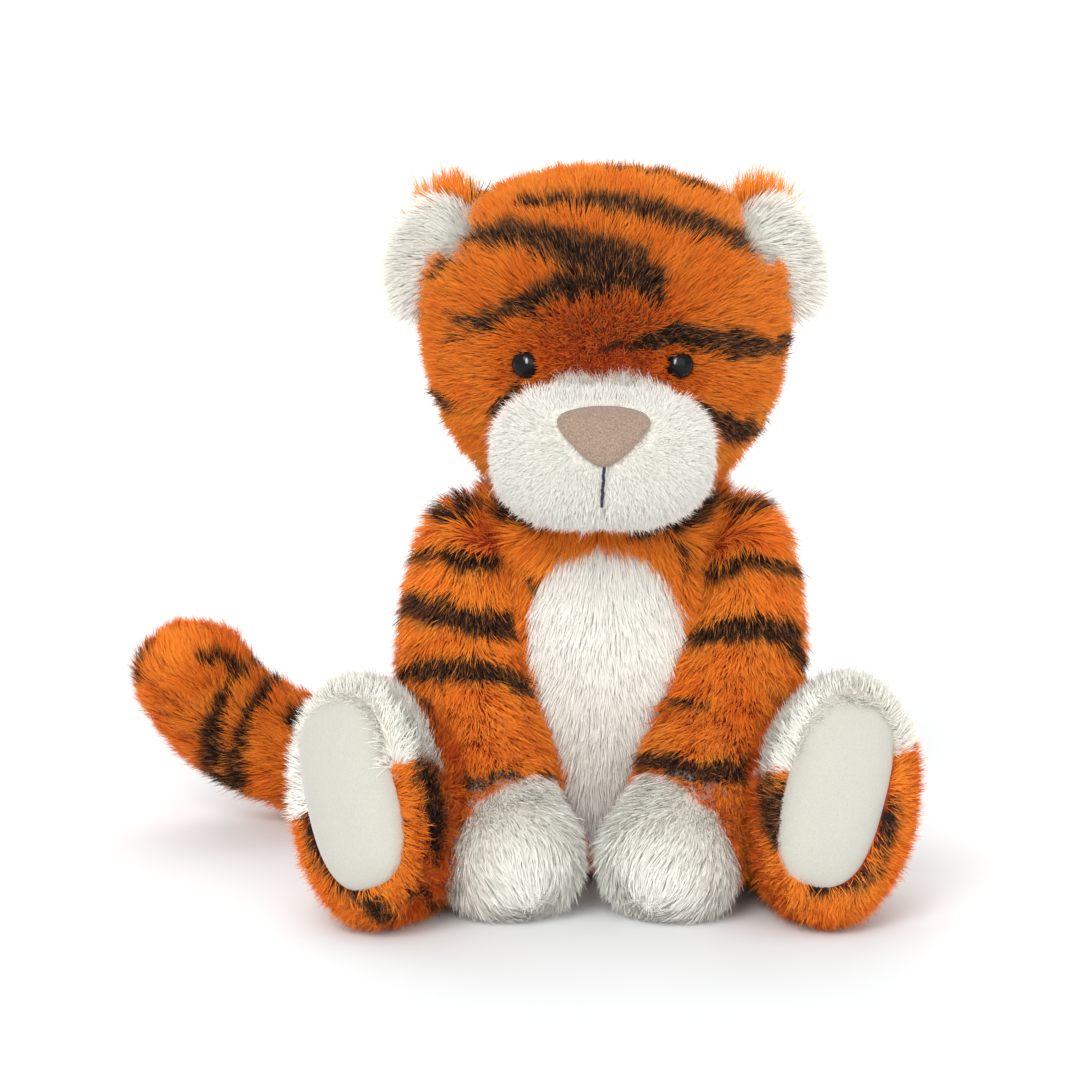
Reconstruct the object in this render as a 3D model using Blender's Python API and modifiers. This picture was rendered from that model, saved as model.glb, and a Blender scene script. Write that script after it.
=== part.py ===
"""A seated plush tiger: sewn fabric skins over polyester stuffing, with a bag of beans in the seat.

Metres, +Z up. The tiger faces -Y, and the origin is on the floor under the middle of its body.
Every stuffed form is a sphere whose rings are spread along a curved spine and swelled to the
form's girth. Each skin is the outer form less the same form drawn in by the fabric's thickness.
The outer forms follow the middle of the pile, so the fur stands a few millimetres proud of them.
"""

import math
from dataclasses import dataclass

import bmesh
import bpy
from mathutils import Matrix, Vector
from mathutils.bvhtree import BVHTree

# Fabric, clearances and cuts
SKIN = 0.002
GAP = 0.0003
SWIVEL_GAP = 0.0012
LIMB_GAP = 0.01
FLAT_DEPTH = 0.0005
REACH = 0.5

# Body: a pear-shaped bag, flat at the flanks where the arms turn and flat on top at the neck
NECK_HEIGHT = 0.127
SHOULDER_CROWN = 0.018
TORSO_HALF_WIDTH = 0.043
TORSO_HALF_DEPTH = 0.041
FLANK_HALF_WIDTH = 0.038
SEAT_CAP = 0.013
BEANS_SPREAD = 0.079
BEANS_HEIGHT = 0.03

# White bib on the chest and belly
BIB_TOP = 0.1165
BIB_BOTTOM = 0.02
BIB_HALF_WIDTH = 0.0208

# Head
HEAD_HEIGHT = 0.115
HEAD_SINK = 0.007
HEAD_HALF_WIDTH = 0.0595
HEAD_HALF_DEPTH = 0.049
FACE_SHIFT = -0.0015

# Muzzle, nose and mouth
MUZZLE_RISE = 0.0225
MUZZLE_LEAD = 0.007
MUZZLE_HALF_WIDTH = 0.0328
MUZZLE_HALF_HEIGHT = 0.021
MUZZLE_HALF_DEPTH = 0.0235
NOSE_HALF_WIDTH = 0.0138
NOSE_HALF_HEIGHT = 0.0085
NOSE_RISE = 0.0095
NOSE_THICKNESS = 0.0016
MOUTH_LENGTH = 0.0155
MOUTH_THREAD = 0.0011

# Safety eyes: a domed head on a ridged shank, locked by a washer behind the skin
EYE_SPACING = 0.051
EYE_RISE = 0.05
EYE_RADIUS = 0.0045
EYE_DOME = 0.0036
EYE_RIM = 0.0006
SHANK_RADIUS = 0.0014
SHANK_LENGTH = 0.0095
RIDGE = 0.0004
WASHER_RADIUS = 0.0055
WASHER_THICKNESS = 0.0008
WASHER_SEAT = 0.0026

# Ears
EAR_HALF_LENGTH = 0.0225
EAR_REACH = 0.0172
EAR_HALF_THICKNESS = 0.0052
EAR_SINK = 0.0012
EAR_BACK = 0.002
EAR_RIM = 0.003

# Arms
SHOULDER_HALF_SPREAD = 0.0405
SHOULDER_DROP = 0.019
SHOULDER_FORWARD = 0.006
SHOULDER_RADIUS = 0.0165
ARM_HALF_WIDTH = 0.0225
ARM_HALF_DEPTH = 0.0215
ELBOW_FLARE = 0.0145
ELBOW_DROP = 0.03
WRIST_HALF_SPREAD = 0.041
WRIST_FORWARD = 0.032
WRIST_RISE = 0.038
PAW_HALF_SPREAD = 0.0203
PAW_SHIFT = -0.006
PAW_FORWARD = 0.084
PAW_RISE = 0.0111
PAW_CAP = 0.019

# Legs
HIP_HALF_SPREAD = 0.029
HIP_BACK = 0.002
HIP_RISE = 0.0212
HIP_RADIUS = 0.0195
THIGH_LENGTH = 0.05
LEG_HALF_WIDTH = 0.024
FOOT_HALF_HEIGHT = 0.0398
FOOT_SPREAD_LEFT = 0.0845
FOOT_SPREAD_RIGHT = 0.0765
FOOT_FORWARD = 0.093
FOOT_RISE = 0.0452
FOOT_LENGTH = 0.047
FOOT_CAP = 0.017
SOLE_THICKNESS = 0.0065
TOE_CAP_DEPTH = 0.022
TOE_CAP_RISE = 0.016

# Tail
TAIL_ROOT_SHIFT = 0.008
TAIL_ROOT_BACK = 0.04
TAIL_ROOT_RISE = 0.0192
TAIL_ROOT_RADIUS = 0.0155
TAIL_HALF_WIDTH = 0.0188
TAIL_SPREAD = 0.15
TAIL_BACK = 0.05
TAIL_TIP_RISE = 0.069
TAIL_CAP = 0.016

# Angles, in degrees
EAR_ELEVATION = 28.5
THIGH_AZIMUTH = 58.0
FOOT_AZIMUTH_LEFT = 33.0
FOOT_AZIMUTH_RIGHT = 12.0
FOOT_PITCH = 17.0
FOOT_LEAN = 10.0

# Shares of a form's half width, half depth or half height at even stations from its start
TORSO_WIDTH_SHARES = (0.94, 1.0, 1.0, 0.98, 0.95, 0.9)
TORSO_DEPTH_SHARES = (0.93, 1.0, 0.96, 0.88, 0.82, 0.76)
HEAD_WIDTH_SHARES = (0.84, 0.9, 0.96, 1.01, 1.03, 1.03)
HEAD_DEPTH_SHARES = (0.86, 0.94, 1.0, 1.0, 0.98, 0.95)
MUZZLE_DEPTH_SHARES = (1.0, 1.0, 1.0)
MUZZLE_HEIGHT_SHARES = (0.96, 1.0, 0.97, 1.0, 0.96)
ARM_WIDTH_SHARES = (0.86, 0.97, 1.0, 0.94, 0.93)
ARM_DEPTH_SHARES = (0.9, 1.0, 1.0, 0.96, 0.93)
LEG_WIDTH_SHARES = (0.92, 0.98, 1.02, 1.02, 1.0)
LEG_HEIGHT_SHARES = (0.53, 0.6, 0.8, 0.97, 1.0)
TAIL_SHARES = (0.93, 0.98, 1.0, 1.04, 1.0)
HEAD_CAP_SHARES = (0.5, 0.5)
MUZZLE_BOW_SHARE = 0.4
TAIL_BOW_SHARES = (0.42, 0.72, 0.94, 0.18)
BIB_TAPER_SHARE = 0.62
NOSE_CORNER_SHARE = 0.17
EAR_LINING_SHARE = 0.8
WRIST_SHARE = 0.735
INNER_DETAIL_SHARE = 0.62

# How square each rounded end is: 2 is a true ellipse
ROUND = 2.0
PLUMP = 2.2
FULL = 2.5

RIDGES = 4
DOME_RINGS = 5
TURNED_SIDES = 16
OUTLINE_SIDES = 28

ORANGE = (0.76, 0.2, 0.025)
CREAM = (0.86, 0.82, 0.74)
VELOUR = (0.84, 0.81, 0.74)
TAUPE = (0.52, 0.35, 0.27)
NAVY = (0.015, 0.02, 0.05)
BLACK = (0.005, 0.005, 0.006)
FIBRE = (0.9, 0.9, 0.88)
BEAN_BAG = (0.6, 0.6, 0.58)
NYLON = (0.8, 0.8, 0.78)

UP = Vector((0.0, 0.0, 1.0))
RIGHT = Vector((1.0, 0.0, 0.0))
FRONT = Vector((0.0, -1.0, 0.0))


@dataclass
class Form:
    """A stuffed shape: rings along a Bezier spine from tip to tip, with a rounded cap at each end."""

    spine: tuple
    across: Vector
    half_width: float
    half_height: float
    width_shares: tuple
    height_shares: tuple
    caps: tuple
    fullness: tuple
    segments: int
    rings: int
    lean: float = 0.0


def bezier(points, place):
    """The point of a cubic Bezier curve at a place from 0 to 1."""
    rest = 1.0 - place
    weights = (rest**3, 3 * place * rest**2, 3 * place**2 * rest, place**3)
    return sum((point * weight for point, weight in zip(points, weights)), Vector())


def share_at(shares, place):
    """A table's value at a place from 0 to 1, on a smooth curve through its entries."""
    last = len(shares) - 1
    cell = min(int(place * last), last - 1)
    t = place * last - cell
    before, low, high, after = (shares[min(max(cell + k, 0), last)] for k in (-1, 0, 1, 2))
    slope = high - before
    bend = 2 * before - 5 * low + 4 * high - after
    twist = 3 * low - before - 3 * high + after
    return low + 0.5 * (slope * t + bend * t**2 + twist * t**3)


class Spine:
    """A Bezier curve measured along its length, which runs straight on past both ends."""

    SAMPLES = 60

    def __init__(self, points):
        self.points = [bezier(points, k / self.SAMPLES) for k in range(self.SAMPLES + 1)]
        self.reached = [0.0]
        for start, end in zip(self.points, self.points[1:]):
            self.reached.append(self.reached[-1] + (end - start).length)
        self.length = self.reached[-1]

    def at(self, along):
        """The point and the direction at a distance along the curve."""
        cell = 0
        while cell < self.SAMPLES - 1 and self.reached[cell + 1] < along:
            cell += 1
        step = self.points[cell + 1] - self.points[cell]
        return self.points[cell] + step.normalized() * (along - self.reached[cell]), step.normalized()


def ring_place(share, length, caps, girths, fullness):
    """Distance along a form and swell of its ring, for a share of the way over its surface."""
    arcs = [0.5 * math.pi * math.hypot(cap, girth) / math.sqrt(2) for cap, girth in zip(caps, girths)]
    barrel = max(length - sum(caps), 0.0)
    travel = share * (sum(arcs) + barrel)
    if travel < arcs[0]:
        angle = 0.5 * math.pi * travel / arcs[0]
        power = 2.0 / fullness[0]
        return caps[0] * (1.0 - math.cos(angle) ** power), math.sin(angle) ** power
    if travel <= arcs[0] + barrel:
        return caps[0] + travel - arcs[0], 1.0
    angle = 0.5 * math.pi * max(sum(arcs) + barrel - travel, 0.0) / arcs[1]
    power = 2.0 / fullness[1]
    return length - caps[1] * (1.0 - math.cos(angle) ** power), math.sin(angle) ** power


def faced_out(mesh):
    """The closed mesh in triangles whose faces point out."""
    bmesh.ops.triangulate(mesh, faces=mesh.faces)
    mesh.normal_update()
    if mesh.calc_volume(signed=True) < 0:
        bmesh.ops.reverse_faces(mesh, faces=mesh.faces)
    return mesh


def form_mesh(form, grow=0.0):
    """A form's surface moved outwards by grow, made from a sphere, with fewer faces on a hidden inside."""
    spine = Spine(form.spine)
    length = spine.length + 2 * grow
    caps = [cap + grow for cap in form.caps]
    girths = [form.half_width * form.width_shares[end] for end in (0, -1)]
    mesh = bmesh.new()
    detail = INNER_DETAIL_SHARE if grow < 0 else 1.0
    bmesh.ops.create_uvsphere(
        mesh, u_segments=round(form.segments * detail), v_segments=round(form.rings * detail), radius=1.0
    )
    for vert in mesh.verts:
        share = math.acos(max(-1.0, min(1.0, vert.co.z))) / math.pi
        along, swell = ring_place(share, length, caps, girths, form.fullness)
        centre, ahead = spine.at(along - grow)
        side = (form.across - ahead * form.across.dot(ahead)).normalized()
        rise = ahead.cross(side)
        place = max(0.0, min(1.0, (along - grow) / spine.length))
        turn = Matrix.Rotation(math.radians(form.lean) * place, 3, ahead)
        around = math.atan2(vert.co.y, vert.co.x)
        wide = (form.half_width * share_at(form.width_shares, place) + grow) * swell
        high = (form.half_height * share_at(form.height_shares, place) + grow) * swell
        vert.co = centre + turn @ (side * (math.cos(around) * wide) + rise * (math.sin(around) * high))
    bmesh.ops.remove_doubles(mesh, verts=mesh.verts, dist=GAP * 0.01)
    return faced_out(mesh)


def new_collection(name):
    collection = bpy.data.collections.new(name)
    bpy.context.scene.collection.children.link(collection)
    return collection


def clear_scene():
    for obj in list(bpy.data.objects):
        bpy.data.objects.remove(obj)


clear_scene()
TIGER = new_collection("plush_tiger")
CUTTERS = new_collection("cutters")


def material(name, colour, roughness, sheen=0.0):
    """One fabric or plastic finish, made once and shared."""
    found = bpy.data.materials.get(name)
    if found:
        return found
    made = bpy.data.materials.new(name)
    made.use_nodes = True
    shader = made.node_tree.nodes["Principled BSDF"]
    shader.inputs["Base Color"].default_value = (*colour, 1.0)
    shader.inputs["Roughness"].default_value = roughness
    shader.inputs["Metallic"].default_value = 0.0
    shader.inputs["Sheen Weight"].default_value = sheen
    return made


def placed(name, mesh, finish):
    """A mesh as a sub-part with its finish, or as a hidden cutter where finish is None."""
    data = bpy.data.meshes.new(name)
    mesh.to_mesh(data)
    mesh.free()
    data.shade_smooth()
    obj = bpy.data.objects.new(name, data)
    if finish is None:
        CUTTERS.objects.link(obj)
        obj.hide_render = True
        obj.display_type = "WIRE"
    else:
        TIGER.objects.link(obj)
        data.materials.append(finish)
    return obj


def combine(obj, *tools, operation="DIFFERENCE"):
    """Cuts each tool from an object, or keeps only what it shares with it."""
    for tool in tools:
        step = obj.modifiers.new(tool.name, "BOOLEAN")
        step.operation = operation
        step.solver = "EXACT"
        step.object = tool
    return obj


def half_space(name, point, outward):
    """A cutter that takes away everything past a plane, on its outward side."""
    mesh = bmesh.new()
    bmesh.ops.create_cube(mesh, size=REACH)
    turn = outward.to_track_quat("Z", "Y").to_matrix().to_4x4()
    place = Matrix.Translation(point) @ turn @ Matrix.Translation(UP * REACH * 0.5)
    bmesh.ops.transform(mesh, matrix=place, verts=mesh.verts)
    return placed(name, mesh, None)


def prism(name, outline, middle):
    """A cutter of a flat outline in X and Z, which reaches forwards from a point."""
    mesh = bmesh.new()
    bmesh.ops.create_cone(
        mesh, cap_ends=True, segments=OUTLINE_SIDES, radius1=1.0, radius2=1.0, depth=REACH
    )
    for vert in mesh.verts:
        flat = outline(math.atan2(vert.co.x, vert.co.y))
        ahead = vert.co.z + REACH * 0.5
        vert.co = middle + RIGHT * flat[0] + UP * flat[1] + FRONT * ahead
    return placed(name, faced_out(mesh), None)


def cylinder(name, radius, start, end):
    """A cutter with round ends flat at two points."""
    mesh = bmesh.new()
    bmesh.ops.create_cone(
        mesh, cap_ends=True, segments=TURNED_SIDES, radius1=radius, radius2=radius,
        depth=(end - start).length,
    )
    turn = (end - start).to_track_quat("Z", "Y").to_matrix().to_4x4()
    bmesh.ops.transform(mesh, matrix=Matrix.Translation((start + end) * 0.5) @ turn, verts=mesh.verts)
    return placed(name, mesh, None)


def turned(name, profile, finish, loop=False):
    """A profile of radius and height, from its top down the outer side, turned round Z."""
    mesh = bmesh.new()
    verts = [mesh.verts.new((radius, 0.0, height)) for radius, height in profile]
    for upper, lower in zip(verts, verts[1:]):
        mesh.edges.new((upper, lower))
    if loop:
        mesh.edges.new((verts[-1], verts[0]))
    obj = placed(name, mesh, finish)
    screw = obj.modifiers.new("turn", "SCREW")
    screw.steps = TURNED_SIDES
    screw.render_steps = TURNED_SIDES
    screw.use_merge_vertices = True
    screw.merge_threshold = GAP * 0.01
    return obj


def form_object(name, form, grow=0.0, finish=None):
    return placed(name, form_mesh(form, grow), finish)


def carried(name, pivot, pieces, parent=None):
    """An empty on the axis of a joint, which carries the pieces that move on it."""
    carrier = bpy.data.objects.new(name, None)
    carrier.location = pivot
    TIGER.objects.link(carrier)
    if parent:
        carrier.parent = parent
        carrier.matrix_parent_inverse = Matrix.Translation(-parent.location)
    for piece in pieces:
        piece.parent = carrier
        piece.matrix_parent_inverse = Matrix.Translation(-pivot)
    return carrier


def body_form():
    base = UP * -FLAT_DEPTH
    top = UP * (NECK_HEIGHT + SHOULDER_CROWN)
    return Form(
        spine=(base, base.lerp(top, 1 / 3), base.lerp(top, 2 / 3), top),
        across=RIGHT,
        half_width=TORSO_HALF_WIDTH,
        half_height=TORSO_HALF_DEPTH,
        width_shares=TORSO_WIDTH_SHARES,
        height_shares=TORSO_DEPTH_SHARES,
        caps=(SEAT_CAP, SHOULDER_CROWN),
        fullness=(FULL, FULL),
        segments=22,
        rings=12,
    )


def head_form():
    base = UP * (NECK_HEIGHT - HEAD_SINK)
    top = base + UP * HEAD_HEIGHT
    return Form(
        spine=(base, base.lerp(top, 1 / 3), base.lerp(top, 2 / 3), top),
        across=RIGHT,
        half_width=HEAD_HALF_WIDTH,
        half_height=HEAD_HALF_DEPTH,
        width_shares=HEAD_WIDTH_SHARES,
        height_shares=HEAD_DEPTH_SHARES,
        caps=tuple(HEAD_HEIGHT * share for share in HEAD_CAP_SHARES),
        fullness=(PLUMP, FULL),
        segments=24,
        rings=14,
    )


def muzzle_middle():
    lead = HEAD_HALF_DEPTH + MUZZLE_LEAD
    return RIGHT * FACE_SHIFT + FRONT * lead + UP * (NECK_HEIGHT + MUZZLE_RISE)


def muzzle_form():
    middle = muzzle_middle()
    reach = RIGHT * MUZZLE_HALF_WIDTH
    bow = FRONT * MUZZLE_HALF_DEPTH * MUZZLE_BOW_SHARE
    return Form(
        spine=(middle - reach - bow, middle - reach / 3, middle + reach / 3, middle + reach - bow),
        across=FRONT,
        half_width=MUZZLE_HALF_DEPTH,
        half_height=MUZZLE_HALF_HEIGHT,
        width_shares=MUZZLE_DEPTH_SHARES,
        height_shares=MUZZLE_HEIGHT_SHARES,
        caps=(MUZZLE_HALF_WIDTH, MUZZLE_HALF_WIDTH),
        fullness=(FULL, FULL),
        segments=16,
        rings=10,
    )


def shoulder(side):
    """The point on the axis that an arm turns on, which runs along X."""
    height = NECK_HEIGHT - SHOULDER_DROP
    return RIGHT * side * SHOULDER_HALF_SPREAD + FRONT * SHOULDER_FORWARD + UP * height


def arm_form(side):
    pivot = shoulder(side)
    top = pivot + UP * SHOULDER_RADIUS
    elbow = pivot + RIGHT * side * ELBOW_FLARE - UP * ELBOW_DROP
    wrist = RIGHT * side * WRIST_HALF_SPREAD + FRONT * WRIST_FORWARD + UP * WRIST_RISE
    tip = RIGHT * (side * PAW_HALF_SPREAD + PAW_SHIFT) + FRONT * PAW_FORWARD + UP * PAW_RISE
    return Form(
        spine=(top, elbow, wrist + RIGHT * PAW_SHIFT * 0.5, tip),
        across=RIGHT,
        half_width=ARM_HALF_WIDTH,
        half_height=ARM_HALF_DEPTH,
        width_shares=(SHOULDER_RADIUS / ARM_HALF_WIDTH, *ARM_WIDTH_SHARES),
        height_shares=(SHOULDER_RADIUS / ARM_HALF_DEPTH, *ARM_DEPTH_SHARES),
        caps=(SHOULDER_RADIUS, PAW_CAP),
        fullness=(ROUND, FULL),
        segments=16,
        rings=14,
    )


def heading(azimuth, pitch, side):
    """A direction turned outwards from the front by azimuth and upwards by pitch."""
    out, lift = math.radians(azimuth), math.radians(pitch)
    level = RIGHT * side * math.sin(out) + FRONT * math.cos(out)
    return level * math.cos(lift) + UP * math.sin(lift)


def hip(side):
    """The middle of the ball that a leg turns on."""
    return RIGHT * side * HIP_HALF_SPREAD - FRONT * HIP_BACK + UP * HIP_RISE


def foot_heading(side):
    azimuth = FOOT_AZIMUTH_LEFT if side < 0 else FOOT_AZIMUTH_RIGHT
    return heading(azimuth, FOOT_PITCH, side)


def foot_tip(side):
    spread = FOOT_SPREAD_LEFT if side < 0 else FOOT_SPREAD_RIGHT
    return RIGHT * side * spread + FRONT * FOOT_FORWARD + UP * FOOT_RISE


def leg_form(side):
    thigh = heading(THIGH_AZIMUTH, 0.0, side)
    tip = foot_tip(side)
    return Form(
        spine=(
            hip(side) - thigh * HIP_RADIUS,
            hip(side) + thigh * THIGH_LENGTH,
            tip - foot_heading(side) * FOOT_LENGTH,
            tip,
        ),
        across=RIGHT * side,
        half_width=LEG_HALF_WIDTH,
        half_height=FOOT_HALF_HEIGHT,
        width_shares=(HIP_RADIUS / LEG_HALF_WIDTH, *LEG_WIDTH_SHARES),
        height_shares=(HIP_RADIUS / FOOT_HALF_HEIGHT, *LEG_HEIGHT_SHARES),
        caps=(HIP_RADIUS, FOOT_CAP),
        fullness=(ROUND, FULL),
        segments=16,
        rings=14,
        lean=-side * FOOT_LEAN,
    )


def tail_root():
    """The middle of the ball that the tail turns on."""
    return RIGHT * -TAIL_ROOT_SHIFT - FRONT * TAIL_ROOT_BACK + UP * TAIL_ROOT_RISE


def tail_form():
    root = tail_root()
    low, lift, out, high = TAIL_BOW_SHARES
    bend = Vector((-TAIL_SPREAD * low, TAIL_BACK + TAIL_ROOT_SHIFT, root.z * lift))
    shares = (TAIL_ROOT_RADIUS / TAIL_HALF_WIDTH, *TAIL_SHARES)
    return Form(
        spine=(
            root - (bend - root).normalized() * TAIL_ROOT_RADIUS,
            bend,
            Vector((-TAIL_SPREAD * out, TAIL_BACK, TAIL_TIP_RISE * high)),
            Vector((-TAIL_SPREAD, TAIL_BACK, TAIL_TIP_RISE)),
        ),
        across=FRONT,
        half_width=TAIL_HALF_WIDTH,
        half_height=TAIL_HALF_WIDTH,
        width_shares=shares,
        height_shares=shares,
        caps=(TAIL_ROOT_RADIUS, TAIL_CAP),
        fullness=(ROUND, ROUND),
        segments=14,
        rings=16,
    )


BODY = body_form()
HEAD = head_form()
MUZZLE = muzzle_form()
ARMS = {side: arm_form(side) for side in (-1, 1)}
LEGS = {side: leg_form(side) for side in (-1, 1)}
TAIL = tail_form()
SIDE_NAMES = {-1: "left", 1: "right"}

orange_plush = material("orange_plush", ORANGE, 0.9, 0.5)
cream_plush = material("cream_plush", CREAM, 0.9, 0.5)
cream_velour = material("cream_velour", VELOUR, 0.85, 0.3)
nose_velour = material("nose_velour", TAUPE, 0.8, 0.3)
thread = material("mouth_thread", NAVY, 0.6)
eye_plastic = material("eye_plastic", BLACK, 0.05)
washer_nylon = material("washer_nylon", NYLON, 0.5)
stuffing_fibre = material("stuffing_fibre", FIBRE, 1.0)
bean_cloth = material("bean_cloth", BEAN_BAG, 0.95)

FLOOR = half_space("floor_cut", Vector(), -UP)
NECK = half_space("neck_cut", UP * NECK_HEIGHT, UP)
HEAD_BASE = half_space("head_base_cut", UP * (NECK_HEIGHT + GAP), -UP)


def flanks(name, half_width):
    """Two cutters that leave a slab of the given half width."""
    return [
        half_space(f"{name}_{SIDE_NAMES[side]}", RIGHT * side * half_width, RIGHT * side)
        for side in (-1, 1)
    ]


SOCKETS = [
    form_object("leg_socket_left", LEGS[-1], SWIVEL_GAP),
    form_object("leg_socket_right", LEGS[1], SWIVEL_GAP),
    form_object("tail_socket", TAIL, SWIVEL_GAP),
]


def bib_outline(gap):
    """A teardrop that widens towards the neck, grown by a gap."""
    half_height = 0.5 * (BIB_TOP - BIB_BOTTOM)

    def outline(angle):
        taper = 1.0 + BIB_TAPER_SHARE * math.cos(angle)
        wide = (BIB_HALF_WIDTH * taper + gap) * math.sin(angle)
        return wide, (half_height + gap) * math.cos(angle)

    return outline


def bean_shape(name, grow):
    """The low dome of the bag of beans, which fills the bottom of the body."""
    mesh = bmesh.new()
    bmesh.ops.create_uvsphere(mesh, u_segments=16, v_segments=8, radius=1.0)
    wide = BEANS_SPREAD + grow
    for vert in mesh.verts:
        vert.co = Vector((vert.co.x * wide, vert.co.y * wide, vert.co.z * (BEANS_HEIGHT + grow)))
    return placed(name, mesh, None)


def make_body():
    middle = UP * 0.5 * (BIB_TOP + BIB_BOTTOM)
    hollow = combine(form_object("torso_hollow", BODY, -SKIN), *flanks("hollow_flank", FLANK_HALF_WIDTH - SKIN))
    outer_cuts = [*flanks("flank_cut", FLANK_HALF_WIDTH), NECK, FLOOR, hollow, *SOCKETS]
    skin = form_object("torso_skin", BODY, 0.0, orange_plush)
    combine(skin, *outer_cuts, prism("bib_hole", bib_outline(GAP), middle))
    bib = form_object("bib_panel", BODY, 0.0, cream_plush)
    combine(bib, *outer_cuts)
    combine(bib, prism("bib_shape", bib_outline(0.0), middle), operation="INTERSECT")
    lining = SKIN + GAP
    inner_cuts = [*flanks("stuffing_flank", FLANK_HALF_WIDTH - lining), NECK, *SOCKETS]
    stuffing = form_object("torso_stuffing", BODY, -lining, stuffing_fibre)
    combine(stuffing, *inner_cuts, bean_shape("bean_pocket", GAP))
    beans = form_object("bean_bag", BODY, -lining, bean_cloth)
    combine(beans, *inner_cuts)
    combine(beans, bean_shape("bean_shape", 0.0), operation="INTERSECT")


def surface_point(tree, start, direction):
    """Where a ray meets a surface, and the surface's direction there."""
    point, normal, _, _ = tree.ray_cast(start, direction)
    return point, normal


def head_tree():
    mesh = form_mesh(HEAD)
    tree = BVHTree.FromBMesh(mesh)
    mesh.free()
    return tree


HEAD_TREE = head_tree()


def eye_seat(side):
    """The point of the head's surface under an eye, and the way the eye looks."""
    across = FACE_SHIFT + side * EYE_SPACING * 0.5
    start = RIGHT * across + FRONT * REACH + UP * (NECK_HEIGHT + EYE_RISE)
    return surface_point(HEAD_TREE, start, -FRONT)


def eye_profile():
    """Down the dome, in under its rim and down the ridged shank to its tip."""
    profile = [(0.0, EYE_DOME)]
    for step in range(1, DOME_RINGS + 1):
        angle = 0.5 * math.pi * step / DOME_RINGS
        profile.append((EYE_RADIUS * math.sin(angle), EYE_RIM + (EYE_DOME - EYE_RIM) * math.cos(angle)))
    profile += [(EYE_RADIUS, GAP), (SHANK_RADIUS, GAP)]
    ribbed = SHANK_LENGTH - SKIN
    pitch = ribbed / (2 * RIDGES)
    for ridge in range(2 * RIDGES):
        radius = SHANK_RADIUS + RIDGE * (ridge % 2)
        profile.append((radius, -SKIN - pitch * ridge))
    profile += [(SHANK_RADIUS, -SHANK_LENGTH), (0.0, -SHANK_LENGTH - RIDGE)]
    return profile


def washer_profile():
    bore = SHANK_RADIUS + RIDGE + GAP
    top = -SKIN - WASHER_SEAT
    bottom = top - WASHER_THICKNESS
    return [(bore, top), (WASHER_RADIUS, top), (WASHER_RADIUS, bottom), (bore, bottom)]


def make_eyes():
    """The eyes and washers, and the cutters that clear the skin and the stuffing round them."""
    pieces, holes, pockets = [], [], []
    for side, name in SIDE_NAMES.items():
        seat, look = eye_seat(side)
        turn = look.to_track_quat("Z", "Y").to_matrix().to_4x4()
        eye = turned(f"eye_{name}", eye_profile(), eye_plastic)
        washer = turned(f"eye_washer_{name}", washer_profile(), washer_nylon, loop=True)
        for piece in (eye, washer):
            piece.matrix_world = Matrix.Translation(seat) @ turn
            pieces.append(piece)
        bore = SHANK_RADIUS + RIDGE + GAP
        inside = seat - look * (SHANK_LENGTH + RIDGE + GAP)
        behind = seat - look * (SKIN + WASHER_SEAT + WASHER_THICKNESS + GAP)
        holes.append(cylinder(f"eye_hole_{name}", bore, inside, seat + look * EYE_RADIUS))
        pockets.append(cylinder(f"shank_pocket_{name}", bore, inside, seat + look * EYE_RADIUS))
        pockets.append(
            cylinder(f"washer_pocket_{name}", WASHER_RADIUS + GAP, behind, seat + look * EYE_RADIUS)
        )
    return pieces, holes, pockets


def ear_axis(side):
    """The middle of an ear's fold line on the head, and the outward and lengthwise directions."""
    lift = math.radians(EAR_ELEVATION)
    outward = RIGHT * side * math.cos(lift) + UP * math.sin(lift)
    along = UP * math.cos(lift) - RIGHT * side * math.sin(lift)
    middle = UP * (NECK_HEIGHT - HEAD_SINK + 0.5 * HEAD_HEIGHT) - FRONT * EAR_BACK
    seat, _ = surface_point(HEAD_TREE, middle + outward * REACH, -outward)
    return seat - outward * EAR_SINK, outward, along


def ear_mesh(side, grow=0.0):
    """Half a flat oval that stands on the fold line, with a rolled seam below it."""
    seat, outward, along = ear_axis(side)
    mesh = bmesh.new()
    bmesh.ops.create_uvsphere(mesh, u_segments=14, v_segments=8, radius=1.0)
    for vert in mesh.verts:
        height = vert.co.y * (EAR_REACH if vert.co.y > 0 else EAR_HALF_THICKNESS + grow)
        length = vert.co.z * (EAR_HALF_LENGTH + grow)
        depth = vert.co.x * (EAR_HALF_THICKNESS + grow)
        vert.co = seat + along * length + outward * height + FRONT * depth
    return faced_out(mesh)


def lining_mesh(side, grow):
    """The pad that fills the cupped front of an ear."""
    seat, outward, along = ear_axis(side)
    middle = seat + FRONT * EAR_HALF_THICKNESS + outward * EAR_REACH * (1.0 - EAR_LINING_SHARE) * 0.5
    mesh = bmesh.new()
    bmesh.ops.create_uvsphere(mesh, u_segments=12, v_segments=8, radius=1.0)
    for vert in mesh.verts:
        height = vert.co.y * (EAR_REACH * EAR_LINING_SHARE + grow)
        length = vert.co.z * (EAR_HALF_LENGTH * EAR_LINING_SHARE + grow)
        depth = vert.co.x * (2 * EAR_HALF_THICKNESS - EAR_RIM + grow)
        vert.co = middle + along * length + outward * height + FRONT * depth
    return faced_out(mesh)


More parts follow.
